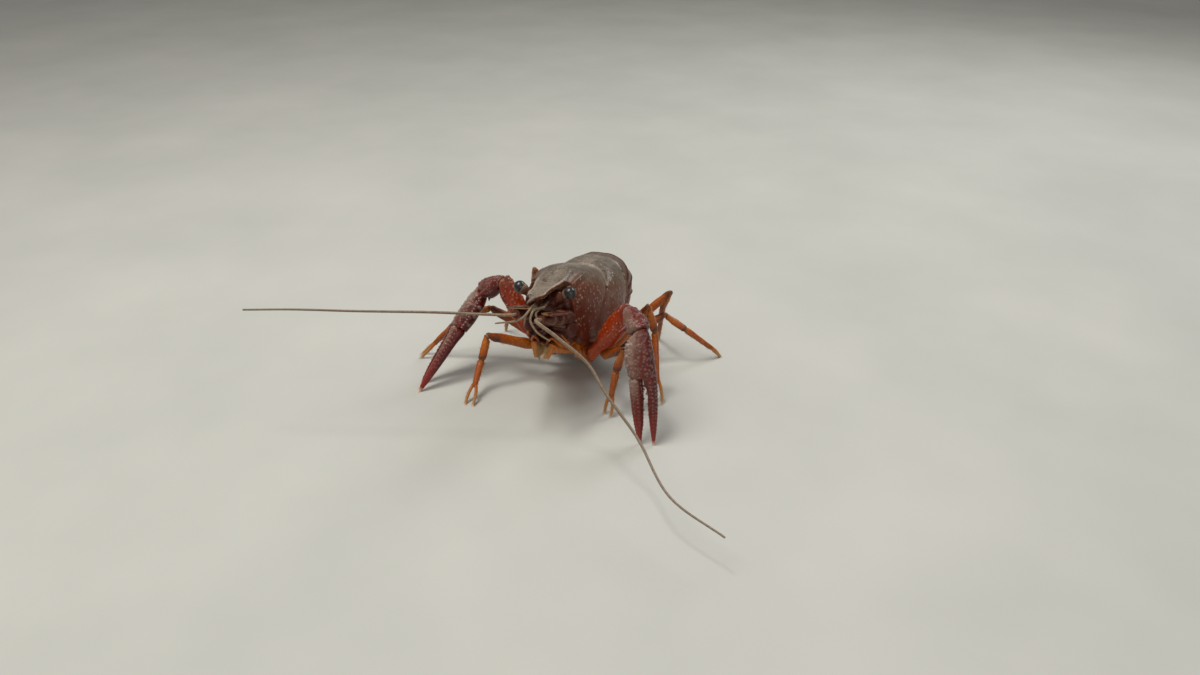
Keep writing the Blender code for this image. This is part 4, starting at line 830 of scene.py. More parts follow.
def even_angles(count):
    """Angles that part the shell's side into equal lengths."""
    fine = np.linspace(0, EDGE_ANGLE, 400)
    line = shell(15.0, fine)
    reach = np.concatenate([[0], np.cumsum(np.linalg.norm(np.diff(line, axis=0), axis=1))])
    return np.interp(np.linspace(0, reach[-1], count), reach, fine)


SHELL_ROWS, SHELL_SIDE, SHELL_UNDER = 240, 116, 10  # the last is half the points of the underside
FINE_GROOVE, FINE_GROOVE_WIDTH = 0.1, 0.24
RIM, RIM_SHARE = 0.14, 0.022  # height of the rear rim, and its share of the shell's length
FINE_TUBERCLES = 230
FADE_FROM, FADE_OVER = 4.2, 4.4  # where the shell's top starts to bend to the rostrum, and over what length
CARINA = [(-1, 2.4), (3, 2.44), (6, 1.95), (9, 1.6)]  # ridges of the top: (behind the eyes, out)
DEGREE = 0.115  # millimetres that a degree round the shell is long
SIDE_TONE = 0.86  # deepest red, above the brighter lower rim
# Rows that line the open rear end: (share of the way to the point SHELL_REAR, distance ahead)
SHELL_LINING = ((0.05, 0.25), (0.12, 0.75), (0.24, 1.0), (0.45, 0.8), (0.7, 0.3))
SHELL_REAR, SHELL_NOSE = np.array([0.0, 24.6, 0.8]), (0, 1.2, -1.0)
MIRROR = np.array([-1, 1, 1])


def bell(value, width):
    return np.exp(-((value / width) ** 2))


def smooth_step(value):
    value = np.clip(value, 0, 1)
    return value * value * (3 - 2 * value)


def rostrum_top(x, ahead):
    """Level of the rostrum's upper face at a distance from the middle line, falling off beyond its margin."""
    wide, thick = curve_at(ROSTRUM_HALF_WIDTH, ahead), curve_at(ROSTRUM_THICK, ahead)
    share = np.abs(x) / wide
    places, levels = zip(*ROSTRUM_SECTION[:4])
    beyond = 2.0 * np.clip(share - 1, 0, None) * wide
    return curve_at(ROSTRUM_LEVEL, ahead) + thick * np.interp(share, places, levels) - beyond


def front_blend(points):
    """Bend the front of the shell's top down to the rostrum's upper face; also how far it was bent."""
    x, y, z = np.moveaxis(points, -1, 0)
    share = smooth_step((FADE_FROM - y) / FADE_OVER) * smooth_step((3.3 - np.abs(x)) / 0.9) * (z > 3.0)
    level = rostrum_top(x, -y) + 0.06 - 0.24 * smooth_step((0.3 - y) / 0.7)
    bent = points.copy()
    bent[..., 2] += share * (level - z)
    return bent, share


def shell_relief(y, angle, share, x, bent):
    """Height of the shell's furrows, ridges and rims, by body position."""
    # Groove, with a low swelling and fine lines along the back behind it
    groove = curve_at(CERVICAL_GROOVE, angle)
    fade = np.clip((GROOVE_END - 12 - angle) / 60, 0, 1)
    high = -FINE_GROOVE * fade * bell(y - groove, FINE_GROOVE_WIDTH)
    high += 0.09 * fade * bell(y - groove - 0.75, 0.4)
    behind = np.clip((y - groove - 0.8) / 1.5, 0, 1)
    high -= 0.16 * behind * bell(x, 0.16)
    high -= 0.07 * behind * bell(np.abs(x) - 1.5, 0.35)
    # Rims of the rear, front and lower margins
    rim = RIM_SHARE * 0.6
    high += RIM * bell(share - 1 + RIM_SHARE * 0.4, rim) - 0.16 * bell(share - 1 + RIM_SHARE * 1.9, rim)
    high += 0.1 * bell(share, rim) * smooth_step((angle - 35) / 20)
    high += 0.1 * bell(angle - EDGE_ANGLE + 1.5, 2.2) - 0.1 * bell(angle - EDGE_ANGLE + 6.5, 2.0)
    # Ridge behind the eye and the furrow under it
    off = angle - curve_at(RIDGE, y)
    reach = np.clip((8.8 - y) / 3.5, 0, 1) * np.clip((y - 0.2) / 0.8, 0, 1)
    high += 0.26 * reach * bell(off * DEGREE, 0.42) - 0.1 * reach * bell((off - 9) * DEGREE, 0.4)
    # Ridges that run on from the rostrum's margins, and the hollow between them
    flat = 1 - bent
    high += 0.2 * flat * np.clip((6.5 - y) / 5, 0, 1) * bell(np.abs(x) - curve_at(CARINA, y), 0.36)
    high -= 0.1 * flat * np.clip((6.5 - y) / 6, 0, 1) * bell(x, 1.2)
    return high


def shell_tubercles(left):
    """Height and mask of small random tubercles on the shell's side, clear of the groove; the mask paints
    their tips pale, partly as painted highlights.
    """
    chance = random.Random(TUBERCLE_SEED)
    studs = []
    for _ in range(FINE_TUBERCLES):
        at, turn = chance.uniform(1.0, 25.0), chance.triangular(34, 124, 92)
        if abs(at - float(curve_at(CERVICAL_GROOVE, turn))) > 0.8:
            studs.append((shell(at, turn), chance.uniform(0.16, 0.32), chance.uniform(0.05, 0.13)))
    return studs_on(left, studs)


def shell_tone(y, angles):
    """Grey on the back and red down the side, lighter to the rear, with a bright lower rim."""
    share = np.broadcast_to(angles / EDGE_ANGLE, y.shape)
    ahead = np.interp(y, (0, 6, 14, 24), (0.15, 0.1, -0.02, -0.12)) * smooth_step(share / 0.3)
    rim = smooth_step((share - SIDE_TONE) / 0.1) * smooth_step((y - 7.0) / 4.0)
    return np.minimum(share + ahead, SIDE_TONE) * (1 - rim) + share * rim


def all_round(left, under, flip=1):
    """Rows over the left side, the underside and the mirrored right side."""
    return np.concatenate([left, under, left[:, :0:-1] * flip], axis=1)


def make_carapace(skins):
    angles = even_angles(SHELL_SIDE)
    front, rear = curve_at(FRONT_MARGIN, angles), curve_at(REAR_MARGIN, angles)
    share = column(np.linspace(0, 1, SHELL_ROWS))
    y = front + (rear - front) * share
    left, bent = front_blend(shell(y, angles))
    parts = np.linspace(0.92, -0.92, SHELL_UNDER * 2 + 1)
    low = [left[:, -1] * (part, 1, 1) + (0, 0, 0.5 * (1 - abs(part))) for part in parts]
    rings = all_round(left, np.stack(low, axis=1), MIRROR)
    bumps, mask = shell_tubercles(left)
    high = shell_relief(y, angles, share, left[..., 0], bent) + bumps
    high = high + 0.09 * rough(left, 0.35) + 0.03 * rough(left, 1.3)
    under = np.zeros((SHELL_ROWS, len(parts)))
    rings = raised(rings, normals_of(rings), all_round(high, under))
    # Pale lines on the ridges of the top, and a painted highlight in the groove
    line = 0.45 * bell(np.abs(left[..., 0]) - curve_at(CARINA, y), 0.26) * np.clip((4.5 - y) / 3, 0, 1)
    furrow = 0.34 * bell(y - curve_at(CERVICAL_GROOVE, angles) - 0.25, 0.2) * smooth_step((70 - angles) / 30)
    mask = np.maximum(np.maximum(mask, line * (angles < 60)), furrow)
    lining = [rings[-1] + (SHELL_REAR - rings[-1]) * inward - (0, ahead, 0) for inward, ahead in SHELL_LINING]
    inside = np.zeros((len(lining), rings.shape[1]))
    tone = np.concatenate([all_round(shell_tone(y, angles), under + 1.0), inside + SIDE_TONE])
    stud = np.concatenate([all_round(mask, under), inside])
    whole = to_world(np.concatenate([rings, lining]))
    shapes = [solid(whole, to_world([SHELL_NOSE])[0], tone=tone, stud=stud)]
    shapes[0].values["tone"][-2:] = SIDE_TONE
    for at, turn, height, radius, lean in CERVICAL_SPINES:
        point = shell(at, turn)
        out = unit(point - (0, at, -1.0))
        ends = point - 0.5 * out, point + 0.7 * height * out - (0, lean, 0)
        shapes += side_spines(ends, radius, tone=0.35, stud=0.3)
    point = shell(*RIDGE[0])
    shapes += side_spines((point + (0, 0.7, -0.25), point + (-0.2, -0.75, 0.1)), 0.36, tone=0.2, stud=0.3)
    piece("carapace_shell", shapes, skins["shell"], "shell", "carapace")


def closed_line(points, count):
    """Even points on a smooth closed line through a few."""
    around = np.array(points + points[:1] + points[1:2], float)
    around = np.concatenate([np.array(points[-1:], float), around])
    steps = np.arange(-1, len(points) + 2)
    t = np.linspace(0, len(points), count, endpoint=False)
    return np.stack([curve_at(list(zip(steps, around[:, k])), t) for k in range(2)], axis=1)


ROSTRUM_ROWS, ROSTRUM_SIDES = 130, 72


def make_rostrum(skins):
    outline = ROSTRUM_SECTION + [(0.0, -1.0)] + [(-x, z) for x, z in ROSTRUM_SECTION[:0:-1]]
    section = closed_line(outline, ROSTRUM_SIDES)
    ahead = np.linspace(-6, 10, ROSTRUM_ROWS)
    x = column(curve_at(ROSTRUM_HALF_WIDTH, ahead)) * section[:, 0]
    z = column(curve_at(ROSTRUM_LEVEL, ahead)) + column(curve_at(ROSTRUM_THICK, ahead)) * section[:, 1]
    rings = np.stack([x, np.broadcast_to(-column(ahead), x.shape), z], axis=-1)
    rings = raised(rings, normals_of(rings), 0.05 * rough(rings, 0.8) + 0.03 * rough(rings, 2.2))
    # Pale upper face with paler margins over a red underside
    out, lift = np.abs(section[:, 0]), section[:, 1]
    under = np.clip(smooth_step((out - 0.88) / 0.08) * (lift < 0.3) + (lift < -0.12), 0, 1)
    stud = np.maximum(0.85 * bell(out - 0.84, 0.1) * (lift > 0), 0.3 * (1 - under))
    shapes = [solid(to_world(rings), tone=0.1 + 0.72 * under, stud=stud)]
    root = np.array([1.05, -6.4, float(curve_at(ROSTRUM_LEVEL, 6.6)) + 0.15])
    shapes += side_spines((root, root + (0.15, -1.4, 0.1)), 0.26, tone=0.1, tip=0.0, stud=0.5)
    ends = (0, -7.4, float(curve_at(ROSTRUM_LEVEL, 7.4)) - 0.05), (0, -10.1, 3.25)
    shapes.append(cone(*to_world(ends), 0.62, 24, 16, tone=0.12, tip=0.0, stud=0.2))
    at = np.linspace(-1.0, 7.0, 60)
    row = np.stack([curve_at(ROSTRUM_HALF_WIDTH, at) * 0.93, -at, curve_at(ROSTRUM_LEVEL, at) - 0.2], axis=1)
    fringe = []
    for side in (LEFT, RIGHT):
        fringe.append(hairs(side_world(row, side), turned((0.6 * side, -0.8, -0.3)), 0.45, 0.022, tip=0.5))
    piece("rostrum_hairs", fringe, skins["hair"], "shell")
    piece("rostrum", shapes, skins["shell"], "shell")


# Centre, half sizes and tone of the head's parts that show between the shell's margins
FACE_BALLS = [
    ((0.0, 1.2, 0.4), (3.0, 1.6, 2.2), 0.95),
    ((2.6, 0.9, -3.3), (2.2, 1.7, 1.1), 0.88),
    ((1.75, 0.7, -5.0), (1.75, 1.5, 1.35), 0.92),
    ((4.0, 1.0, -3.6), (1.75, 1.9, 2.1), 0.97),
    ((3.3, 1.6, -6.0), (1.5, 1.6, 1.5), 0.9),
    ((0.0, 0.4, -2.6), (1.6, 1.3, 0.9), 0.8),
    ((3.7, 0.2, -0.8), (1.75, 1.9, 1.6), 0.9),
    ((1.7, -0.5, 2.5), (1.5, 1.9, 1.5), 0.95),
    ((2.9, 0.8, 1.4), (1.9, 1.5, 1.7), 0.92),
]
# Middle lines of the mouth's upper edge and of the inner mouthparts, left side
LIP = [(3.9, -0.4, -2.9), (2.6, -1.25, -2.7), (1.2, -1.35, -2.5), (0.0, -1.3, -2.35)]
PALP = [(2.9, 5.5, -8.4), (2.9, 1.0, -7.2), (2.7, -1.3, -6.2), (1.9, -2.4, -5.2), (1.0, -2.4, -5.9)]
PALP += [(0.8, -2.3, -6.9)]
OUTER_PALP = [(3.9, 4.0, -7.2), (4.2, 0.6, -6.4), (4.1, -0.9, -5.4), (3.6, -1.6, -4.4)]


def make_face(skins):
    """What shows between the shell's front margins: the mouth's plate, jaws and inner mouthparts."""
    plates, palps = [], []
    for number, (centre, size, tone) in enumerate(FACE_BALLS):
        for side in (LEFT, RIGHT) if centre[0] else (LEFT,):
            shape = ball(side_world([centre], side)[0], size, 48, 30, tone=tone)
            out = shape.points - shape.points.mean(axis=0)
            shape.points = shape.points + out * column(0.16 * rough(shape.points, 0.7, number))
            plates.append(shape)
    for side in (LEFT, RIGHT):
        path, t = side_tube(LIP, side, 40)
        plates.append(sweep(path, np.full_like(t, 0.34), 14, tone=0.55))
        path, t = side_tube(PALP, side, 70)
        palps.append(sweep(path, 0.58 - 0.34 * t + 0.06 * np.sin(t * 14), 16, tone=column(0.1 + 0.8 * t)))
        path, t = side_tube(OUTER_PALP, side, 40)
        palps.append(sweep(path, 0.4 - 0.26 * t, 12, tone=0.6))
    piece("face_plates", plates, skins["head"], "shell")
    piece("inner_mouthparts", palps, skins["leg"], "leg")


# Eyes and feelers
def straight(start, end, t):
    """Points at shares of a straight line."""
    return start + column(t) * (end - start)


def make_eyes(skins):
    for name, side in SIDES.items():
        centre, root = side_world([(EYE_OUT, -EYE_AHEAD, EYE_LEVEL), EYE_ROOT], side)
        axis = unit(centre - root)
        t = np.linspace(0, 1, 26)
        size = 0.78 + 0.3 * t + 0.06 * np.sin(t * 9) - 0.1 * bell(t - 0.45, 0.12)
        stalk = sweep(straight(root, centre - 0.15 * axis, t), size, 28, tone=column(0.9 - 0.4 * t))
        cup = ball(centre - 0.62 * axis, EYE_RADIUS * 0.93, tone=0.45)
        piece("eye_stalk_" + name, [stalk, cup], skins["head"], "shell")
        piece("eye_ball_" + name, [ball(centre, EYE_RADIUS, 48, 30)], skins["eye"], "cornea", "eye_" + name)


def ringed(t, marks, depth=0.09, width=0.02):
    """Narrow waists at the joints of a feeler's base."""
    return 1 - depth * sum(bell(t - mark, width) for mark in marks)


def scale_edge(which, along):
    """Inner (1) or outer (2) edge of a feeler's scale."""
    return curve_at([(edge[0], edge[which]) for edge in SCALE_EDGES], along)


def antenna_scale(base, axis, outward, up):
    """Flat scale over a feeler's base, thickest near its outer edge."""
    along = np.linspace(SCALE_EDGES[0][0], SCALE_EDGES[-1][0], 70)
    inner, outer = scale_edge(1, along), scale_edge(2, along)
    turn = 2 * np.pi * np.arange(36) / 36
    c, s = np.cos(turn), np.sin(turn)
    thick = 0.27 * np.clip((9.4 - along) / 1.6, 0.25, 1)
    across = column(0.5 * (inner + outer)) + column(0.5 * (outer - inner) + 0.02) * c
    lift = column(thick) * (s + 0.35 * bell(c - 0.75, 0.3) * np.sign(s))
    rings = base + along[:, None, None] * axis + SCALE_LIFT * up
    rings = rings + across[..., None] * outward + lift[..., None] * up
    return solid(rings, tone=0.84 - 0.2 * c, tip=0.0)


def make_antennae(skins):
    for name, side in SIDES.items():
        base, end = antenna_ends(name)
        axis = unit(end - base)
        outward = turned((side, 0, 0))
        up = unit(np.cross(axis, outward)) * side
        up = up if up[2] > 0 else -up
        t = np.linspace(0, 1, 90)
        size = curve_at(ANTENNA_SIZE, t) * ringed(t, (0.32, 0.62, 0.86))
        tone = 1.0 - 0.25 * t - 0.4 * (bell(t - 0.29, 0.02) + bell(t - 0.59, 0.02))
        shapes = [sweep(straight(base, end, t), size, 32, tone=column(tone))]
        shapes.append(antenna_scale(base, axis, outward, up))
        for sign, spread in ((1, 0.9), (-0.4, 0.5)):
            root = base + axis * 2.6 + outward * spread * 0.9 * sign - up * 0.3
            peak = root + axis * 1.1 + outward * 0.45 * sign - up * 0.15
            shapes.append(cone(root, peak, 0.34, tone=0.4, tip=0.0))
        piece("antenna_base_skin_" + name, shapes, skins["head"], "shell", "antenna_base_" + name)
        at = np.linspace(0.9, 8.6, 130)
        roots = base + column(at) * axis + SCALE_LIFT * up + column(scale_edge(1, at) + 0.05) * outward
        fringe = hairs(roots, axis * 0.9 - outward * 0.75 + 0.02 * up, 1.3, 0.035, tip=0.6)
        piece("antenna_fringe_" + name, [fringe], skins["hair"], "shell")


FEELER_WIDTH = {"left": 0.95, "right": 0.76}  # of the whips' roots, as shares of the CAD's
TIP_WIDTH, BRANCH_TIP_WIDTH = 0.72, 0.6  # the same for the tips of the whips and of the small feelers


def make_flagella(skins):
    for name in SIDES:
        route = flagellum_route(name)
        route[0] -= (route[1] - route[0]) * 0.5
        radii = (FLAGELLUM_RADII[0] * FEELER_WIDTH[name], FLAGELLUM_RADII[1] * TIP_WIDTH)
        nodes = ("flagellum_base_" + name, "flagellum_tip_" + name)
        piece("flagellum_" + name, [whip(route, radii, 0.42, 12)], skins["feeler"], "feeler", *nodes)


def make_antennules(skins):
    for name, side in SIDES.items():
        base = side_world([ANTENNULE_BASE], side)[0]
        axis = unit(turned((0.02 * side, -1, -0.16)))
        end = base + ANTENNULE_LENGTH * axis
        t = np.linspace(0, 1, 60)
        size = curve_at(ANTENNULE_SIZE, t) * ringed(t, (0.45, 0.72))
        shapes = [sweep(straight(base, end, t), size, 24, tone=column(1.05 - 0.3 * t))]
        for rank, which in ((1, "outer"), (-1, "inner")):
            root = end - 0.9 * axis + (0.22 * side * rank, 0, 0.1 * rank)
            route = bent_route([root, root + 1.1 * axis], BRANCHES[(name, which)])
            shapes.append(whip(route, (BRANCH_RADII[0], BRANCH_RADII[1] * BRANCH_TIP_WIDTH), 0.3))
        piece("antennule_skin_" + name, shapes, skins["pale"], "feeler", "antennule_" + name)


# Limbs
def limb_rings(chain, planes, index, wide, deep, rows, sides, power=2.2, sag=None, trims=(GAP / 2, GAP / 2)):
    """Dense grid of a limb part between its joint planes, and the share of its length for each row."""
    even = np.linspace(0, 1, rows)
    t = 0.4 * (0.5 - 0.5 * np.cos(np.pi * even)) + 0.6 * even
    section = tapered(wide, deep, sides, power, sag)
    ends, normals = chain[index : index + 2], planes[index : index + 2]
    return np.array(mitred(*ends, *normals, (0, 0, 1), section, t, trims)), t


def rounded(rings, t, edge=0.035, deep=0.2):
    """Ease a grid's two rims inwards, as the edges of a shell part are rounded."""
    middle = rings.mean(axis=1, keepdims=True)
    pull = deep * (np.clip(1 - t / edge, 0, 1) ** 2 + np.clip(1 - (1 - t) / edge, 0, 1) ** 2)
    return rings + (middle - rings) * pull[:, None, None]


def collar(t, place, size, width):
    """Swelling of a limb part next to its joint."""
    return size * bell(t - place, width)


def scatter_on(rings, normals, count, chance, rows=(0.05, 0.95)):
    """Random surface points with normals and row shares, on a grid."""
    high, around = rings.shape[:2]
    found = []
    for _ in range(count):
        r = int(chance.uniform(*rows) * (high - 1))
        c = chance.randrange(around)
        found.append((rings[r, c], normals[r, c], r / (high - 1)))
    return found


def limb_hairs(rings, normals, axis, count, seed, length, lower=True, radius=0.03, rows=(0.05, 0.95)):
    """Sparse hairs over a limb part, leaning to its tip."""
    chance = random.Random(seed)
    found = scatter_on(rings, normals, count * 3, chance, rows)
    found = [f for f in found if not lower or f[1][2] < 0.35][:count]
    roots = [p - 0.02 * n for p, n, _ in found]
    ways = [unit(n * 0.8 + axis * chance.uniform(0.5, 1.1)) for _, n, _ in found]
    lengths = [length * chance.uniform(0.6, 1.2) for _ in found]
    return hairs(roots, ways, lengths, radius, tip=0.5)


# Rows and points around of the grids of each kind of limb part
LEG_GRID, HAND_GRID, TOE_GRID, MAXILLIPED_GRID, SOCKET_GRID = (72, 36), (80, 34), (60, 22), (50, 32), (50, 34)
ARM_GRID, WRIST_GRID = (110, 80), (90, 90)
LEG_HAIRS = {"upper_": 46, "wrist_": 24, "hand_": 60, "finger": 46}
LEG_KNOTS = (0.8, 0.62, 0.62)  # radii of the soft joints


def make_legs(skins):
    for number in LEG_LENGTHS:
        for name in SIDES:
            make_leg(number, name, skins)


def make_leg(number, name, skins):
    chain = leg_chain(number, name)
    planes = joint_normals(chain, socket_normal(number, SIDES[name]), (0, 0, -1))
    size = LEG_SIZE[number]
    label = f"leg{number}_{name}"
    seed = number * 10 + SIDES[name]
    wrist = scaled(WRIST_SIZE, size)
    parts = {
        "upper_": (scaled(UPPER_WIDE, size), scaled(UPPER_DEEP, size), UPPER_SAG, 0.1),
        "wrist_": (wrist, wrist, None, 0.0),
    }
    bristles = []
    for index, (part, (wide, deep, sag, waist)) in enumerate(parts.items()):
        rings, t = limb_rings(chain, planes, index, wide, deep, *LEG_GRID, sag=sag)
        normals = normals_of(rings)
        high = collar(t, 0.95, 0.07, 0.03) + collar(t, 0.04, 0.05, 0.03) - collar(t, 0.25, waist, 0.02)
        high = column(high) + 0.09 * rough(rings, 0.5, seed) + 0.03 * rough(rings, 1.8)
        rings = rounded(raised(rings, normals, high), t)
        piece(part + label + "_skin", [solid(rings, tone=column(t))], skins["leg"], "leg", part + label)
        axis = unit(chain[index + 1] - chain[index])
        bristles.append(limb_hairs(rings, normals, axis, LEG_HAIRS[part], seed + index, 0.55))
    bristles += make_hand(number, label, chain, planes, size, skins, seed)
    piece(label + "_hairs", bristles, skins["hair"], "leg")
    knots = [ball(point, radius, tone=0.5) for point, radius in zip(chain, LEG_KNOTS)]
    piece(label + "_joints", knots, skins["membrane"], "leg")


def make_hand(number, label, chain, planes, size, skins, seed):
    """Last part of a leg, with small pincers on the second and third legs; returns its hairs."""
    start, tip = chain[2], chain[3]
    axis = unit(tip - start)
    fork = start + (tip - start) * (1 - FINGER_SHARE[number])
    pincers = number < 4
    if not pincers:
        fork = fork + 0.35 * unit(np.cross(np.cross(axis, (0, 0, 1)), axis))
    axis = unit(fork - start)
    sizes = scaled(HAND_SIZE, size)
    rings, t = limb_rings([start, fork], [planes[2], axis], 0, sizes, sizes, *HAND_GRID, trims=(GAP / 2, 0.0))
    normals = normals_of(rings)
    high = column(collar(t, 0.05, 0.06, 0.03)) + 0.08 * rough(rings, 0.5, seed) + 0.02 * rough(rings, 2.0)
    rings = rounded(raised(rings, normals, high), t)
    shapes = [solid(rings, tone=column(0.66 + 0.14 * t), tip=column(0.25 * t**3))]
    bristles = [limb_hairs(rings, normals, axis, LEG_HAIRS["hand_"], seed + 5, 0.6)]
    spread = unit(np.cross(axis, (0, 0, 1)))
    width, bend = (0.36, 0.3) if pincers else (0.5, 0.25)
    widths = [(0, width), (0.5, width * 0.9), (1, LEG_END)]
    for offset in (-0.42, 0.42) if pincers else (0.0,):
        ends = fork - 0.5 * axis + spread * offset * size * 0.75, tip + spread * offset * 2.1
        way = unit(ends[1] - ends[0])
        planes = [way, np.array([0, 0, -1.0])]
        finger, s = limb_rings(ends, planes, 0, widths, widths, *TOE_GRID, 2.0, trims=(0, 0))
        bow = bend * np.sin(np.pi * s) * (1 - s) ** 0.3
        finger = finger + bow[:, None, None] * (spread * np.sign(offset) if offset else np.array([0, 0, 1.0]))
        shapes.append(solid(finger, tone=0.45, tip=column(0.3 + 0.7 * s)))
        found = (LEG_HAIRS["finger"], seed + 9, 0.5, False, 0.025, (0.3, 0.95))
        bristles.append(limb_hairs(finger, normals_of(finger), way, *found))
    piece("hand_" + label + "_skin", shapes, skins["leg"], "leg", "hand_" + label)
    return bristles


def make_maxillipeds(skins):
    for name, side in SIDES.items():
        route = side_world(MAXILLIPED, side)
        planes = joint_normals(route, turned((0, -1, 0)), route[3] - route[2])
        inward = turned((-side, 0, 0))
        shapes, fringe = [], []
        for k, (wide, deep) in enumerate(MAXILLIPED_SIZE):
            sizes = list(enumerate(wide)), list(enumerate(deep))
            rings, t = limb_rings(route, planes, k, *sizes, *MAXILLIPED_GRID, trims=(0.0 if k else GAP, 0.0))
            normals = normals_of(rings)
            waists = -0.13 * bell(t - 1, 0.05) * (k < 2) - 0.13 * bell(t, 0.05) * (k > 0)
            rings = raised(rings, normals, column(waists) + 0.06 * rough(rings, 0.9, k))
            shapes.append(solid(rings, tone=column(0.2 + 0.25 * t), tip=column(0.45 + 0.15 * (k == 2) * t)))
            axis = unit(route[k + 1] - route[k])
            chance = random.Random(MAXILLIPED_SEED + k)
            spots = [f for f in scatter_on(rings, normals, 900, chance) if f[1] @ inward > 0.35][:150]
            ways = [inward * 0.9 + axis * 0.6 + (0, 0, chance.uniform(-0.6, 0.1)) for _ in spots]
            lengths = [chance.uniform(0.7, 1.5) for _ in spots]
            fringe.append(hairs([p for p, _, _ in spots], ways, lengths, 0.03, tip=1.0))
        piece("maxilliped_skin_" + name, shapes, skins["leg"], "leg", "maxilliped_" + name)
        piece("maxilliped_fringe_" + name, fringe, skins["hair"], "leg")


BELLY_ROWS, BELLY_SIDES = 90, 64


def make_belly(skins):
    y = np.linspace(*BELLY_SPAN, BELLY_ROWS)
    edge_x, edge_z = shell(y, EDGE_ANGLE)[:, 0], curve_at(LOWER_EDGE, y)
    half = [(edge_x * share, edge_z + 0.5 * (1 - share) - GAP) for share in (0.0, 0.4, 0.75)]
    half += [(np.full_like(y, 3.6), edge_z - 0.7 * BELLY_DEPTH), (np.full_like(y, 1.4), edge_z - BELLY_DEPTH)]
    outline = half + [(-x, z) for x, z in half[:0:-1]]
    rings = []
    for k, at in enumerate(y):
        flat = closed_line([(x[k], z[k]) for x, z in outline], BELLY_SIDES)
        rings.append(np.stack([flat[:, 0], np.full(BELLY_SIDES, at), flat[:, 1]], axis=1))
    rings = np.array(rings)
    waves = 0.14 * column(np.cos(2 * np.pi * (y - 9.6) / 3.6)) * np.clip(-(rings[..., 2] + 8.5) / 2, 0, 1)
    rings = raised(rings, normals_of(rings), waves + 0.08 * rough(rings, 0.6))
    shapes = [solid(to_world(rings), tone=0.2)]
    for number, (out, behind, level) in SOCKETS.items():
        for side in (LEFT, RIGHT):
            ends = side_world([(SOCKET_ROOT, behind, level + 0.3), (out, behind, level)], side)
            planes = [unit(ends[1] - ends[0]), socket_normal(number, side)]
            widths = scaled(SOCKET_SIZE, SOCKET_RADIUS[number])
            tube, t = limb_rings(ends, planes, 0, widths, widths, *SOCKET_GRID)
            tube = rounded(raised(tube, normals_of(tube), 0.07 * rough(tube, 0.7, number)), t)
            shapes.append(solid(tube, tone=column(0.15 + 0.7 * t)))
    piece("belly_skin", shapes, skins["leg"], "leg", "belly")


# Chelipeds
PALM_ROWS, FINGER_ROWS, CLAW_SIDES, FINGER_SIDES = 110, 150, 120, 80
# Cutting edge of the fixed finger, by share of the claw's length
CROTCH = [(0.41, 0.2), (0.46, 0.1), (0.52, -0.4), (0.65, -0.42), (0.8, -0.5), (0.94, -0.7), (1, -0.78)]
# Painted sheen of each claw, grey-lilac on the faces turned to the light: shares of its back, its mesial side
# and a fixed direction toward the light, and the border's offset
CLAW_SHEEN = {"left": (0.5, 0.8, (0, 0, 0), -0.18), "right": (0.1, 0.0, (-0.82, 0.08, 0.64), -0.08)}
FINGER_FALL = {"left": 0.64, "right": 0.34}  # how much the painted grey sheen turns to red along the fingers
CLAW_SLOPE = {"left": 0.27, "right": 0.0}  # how much the painted grey sheen turns to red from one margin to the other


# Rows of tubercles along the fingers: (grid column, distance apart as a share of the finger)
FIXED_ROWS = ((30, 0.055), (43, 0.06), (57, 0.055))
MOVING_ROWS = ((20, 0.055), (11, 0.06), (3, 0.05))
ROW_START, ROW_STOP = 0.05, 0.93
# Random tubercles of the palm, the fingers, the arm and the wrist: (number, radii, heights, span of shares)
PALM_FIELD = (470, (0.18, 0.37), (0.06, 0.18), (0.02, 0.44))
FIXED_FIELD = (90, (0.14, 0.24), (0.03, 0.08), (0.45, 0.85))
MOVING_FIELD = (110, (0.14, 0.26), (0.03, 0.09), (0.03, 0.8))
ARM_FIELD = (260, (0.2, 0.34), (0.06, 0.18), (0.05, 0.95))
WRIST_FIELD = (260, (0.2, 0.36), (0.08, 0.2), (0.05, 0.95))
# How dark the arm gets to its end, and how much of the painted grey sheen the wrist gets, on each claw
ARM_DUSK, WRIST_SHEEN = {"left": 0.35, "right": 0.6}, {"left": 0.88, "right": 0.62}
# Soft joints of a claw limb as (joint, radius, tone), and the moving finger's hinge
CHELIPED_KNOTS = ((1, 1.25, 0.5), (2, 1.2, 0.5), (0, 1.2, 0.4))
HINGE_OUT, HINGE_RADIUS = 1.45, 0.85


def limb_spines(start, end, wide, deep, mesial, studs):
    """Spines of an arm or wrist as smooth cones, at the CAD's places."""
    axis = unit(end - start)
    inner = unit(mesial - (mesial @ axis) * axis)
    up = np.cross(axis, inner)
    up = up if up[2] > 0 else -up
    section = tapered(wide, deep)
    made = []
    for share, angle, height, radius in studs:
        a = math.radians(angle)
        out = inner * math.cos(a) + up * math.sin(a)
        size = np.abs(section(share)).max(axis=0).mean() * 0.96
        surface = start + (end - start) * share + out * size
        ends = surface - LIMB_SINK * out, surface + height * out + 0.5 * height * axis
        made.append(cone(*ends, radius * 1.1, tone=0.5))
    return made


def tubercled(rings, normals, chance, field, keep):
    """Height and mask of random small tubercles where keep(normal, share) says so."""
    count, radius, height, span = field
    spots = [f for f in scatter_on(rings, normals, count, chance, span) if keep(f[1], f[2])]
    radii = [chance.uniform(*radius) for _ in spots]
    heights = [chance.uniform(*height) for _ in spots]
    return studs_on(rings, zip([p for p, _, _ in spots], radii, heights))


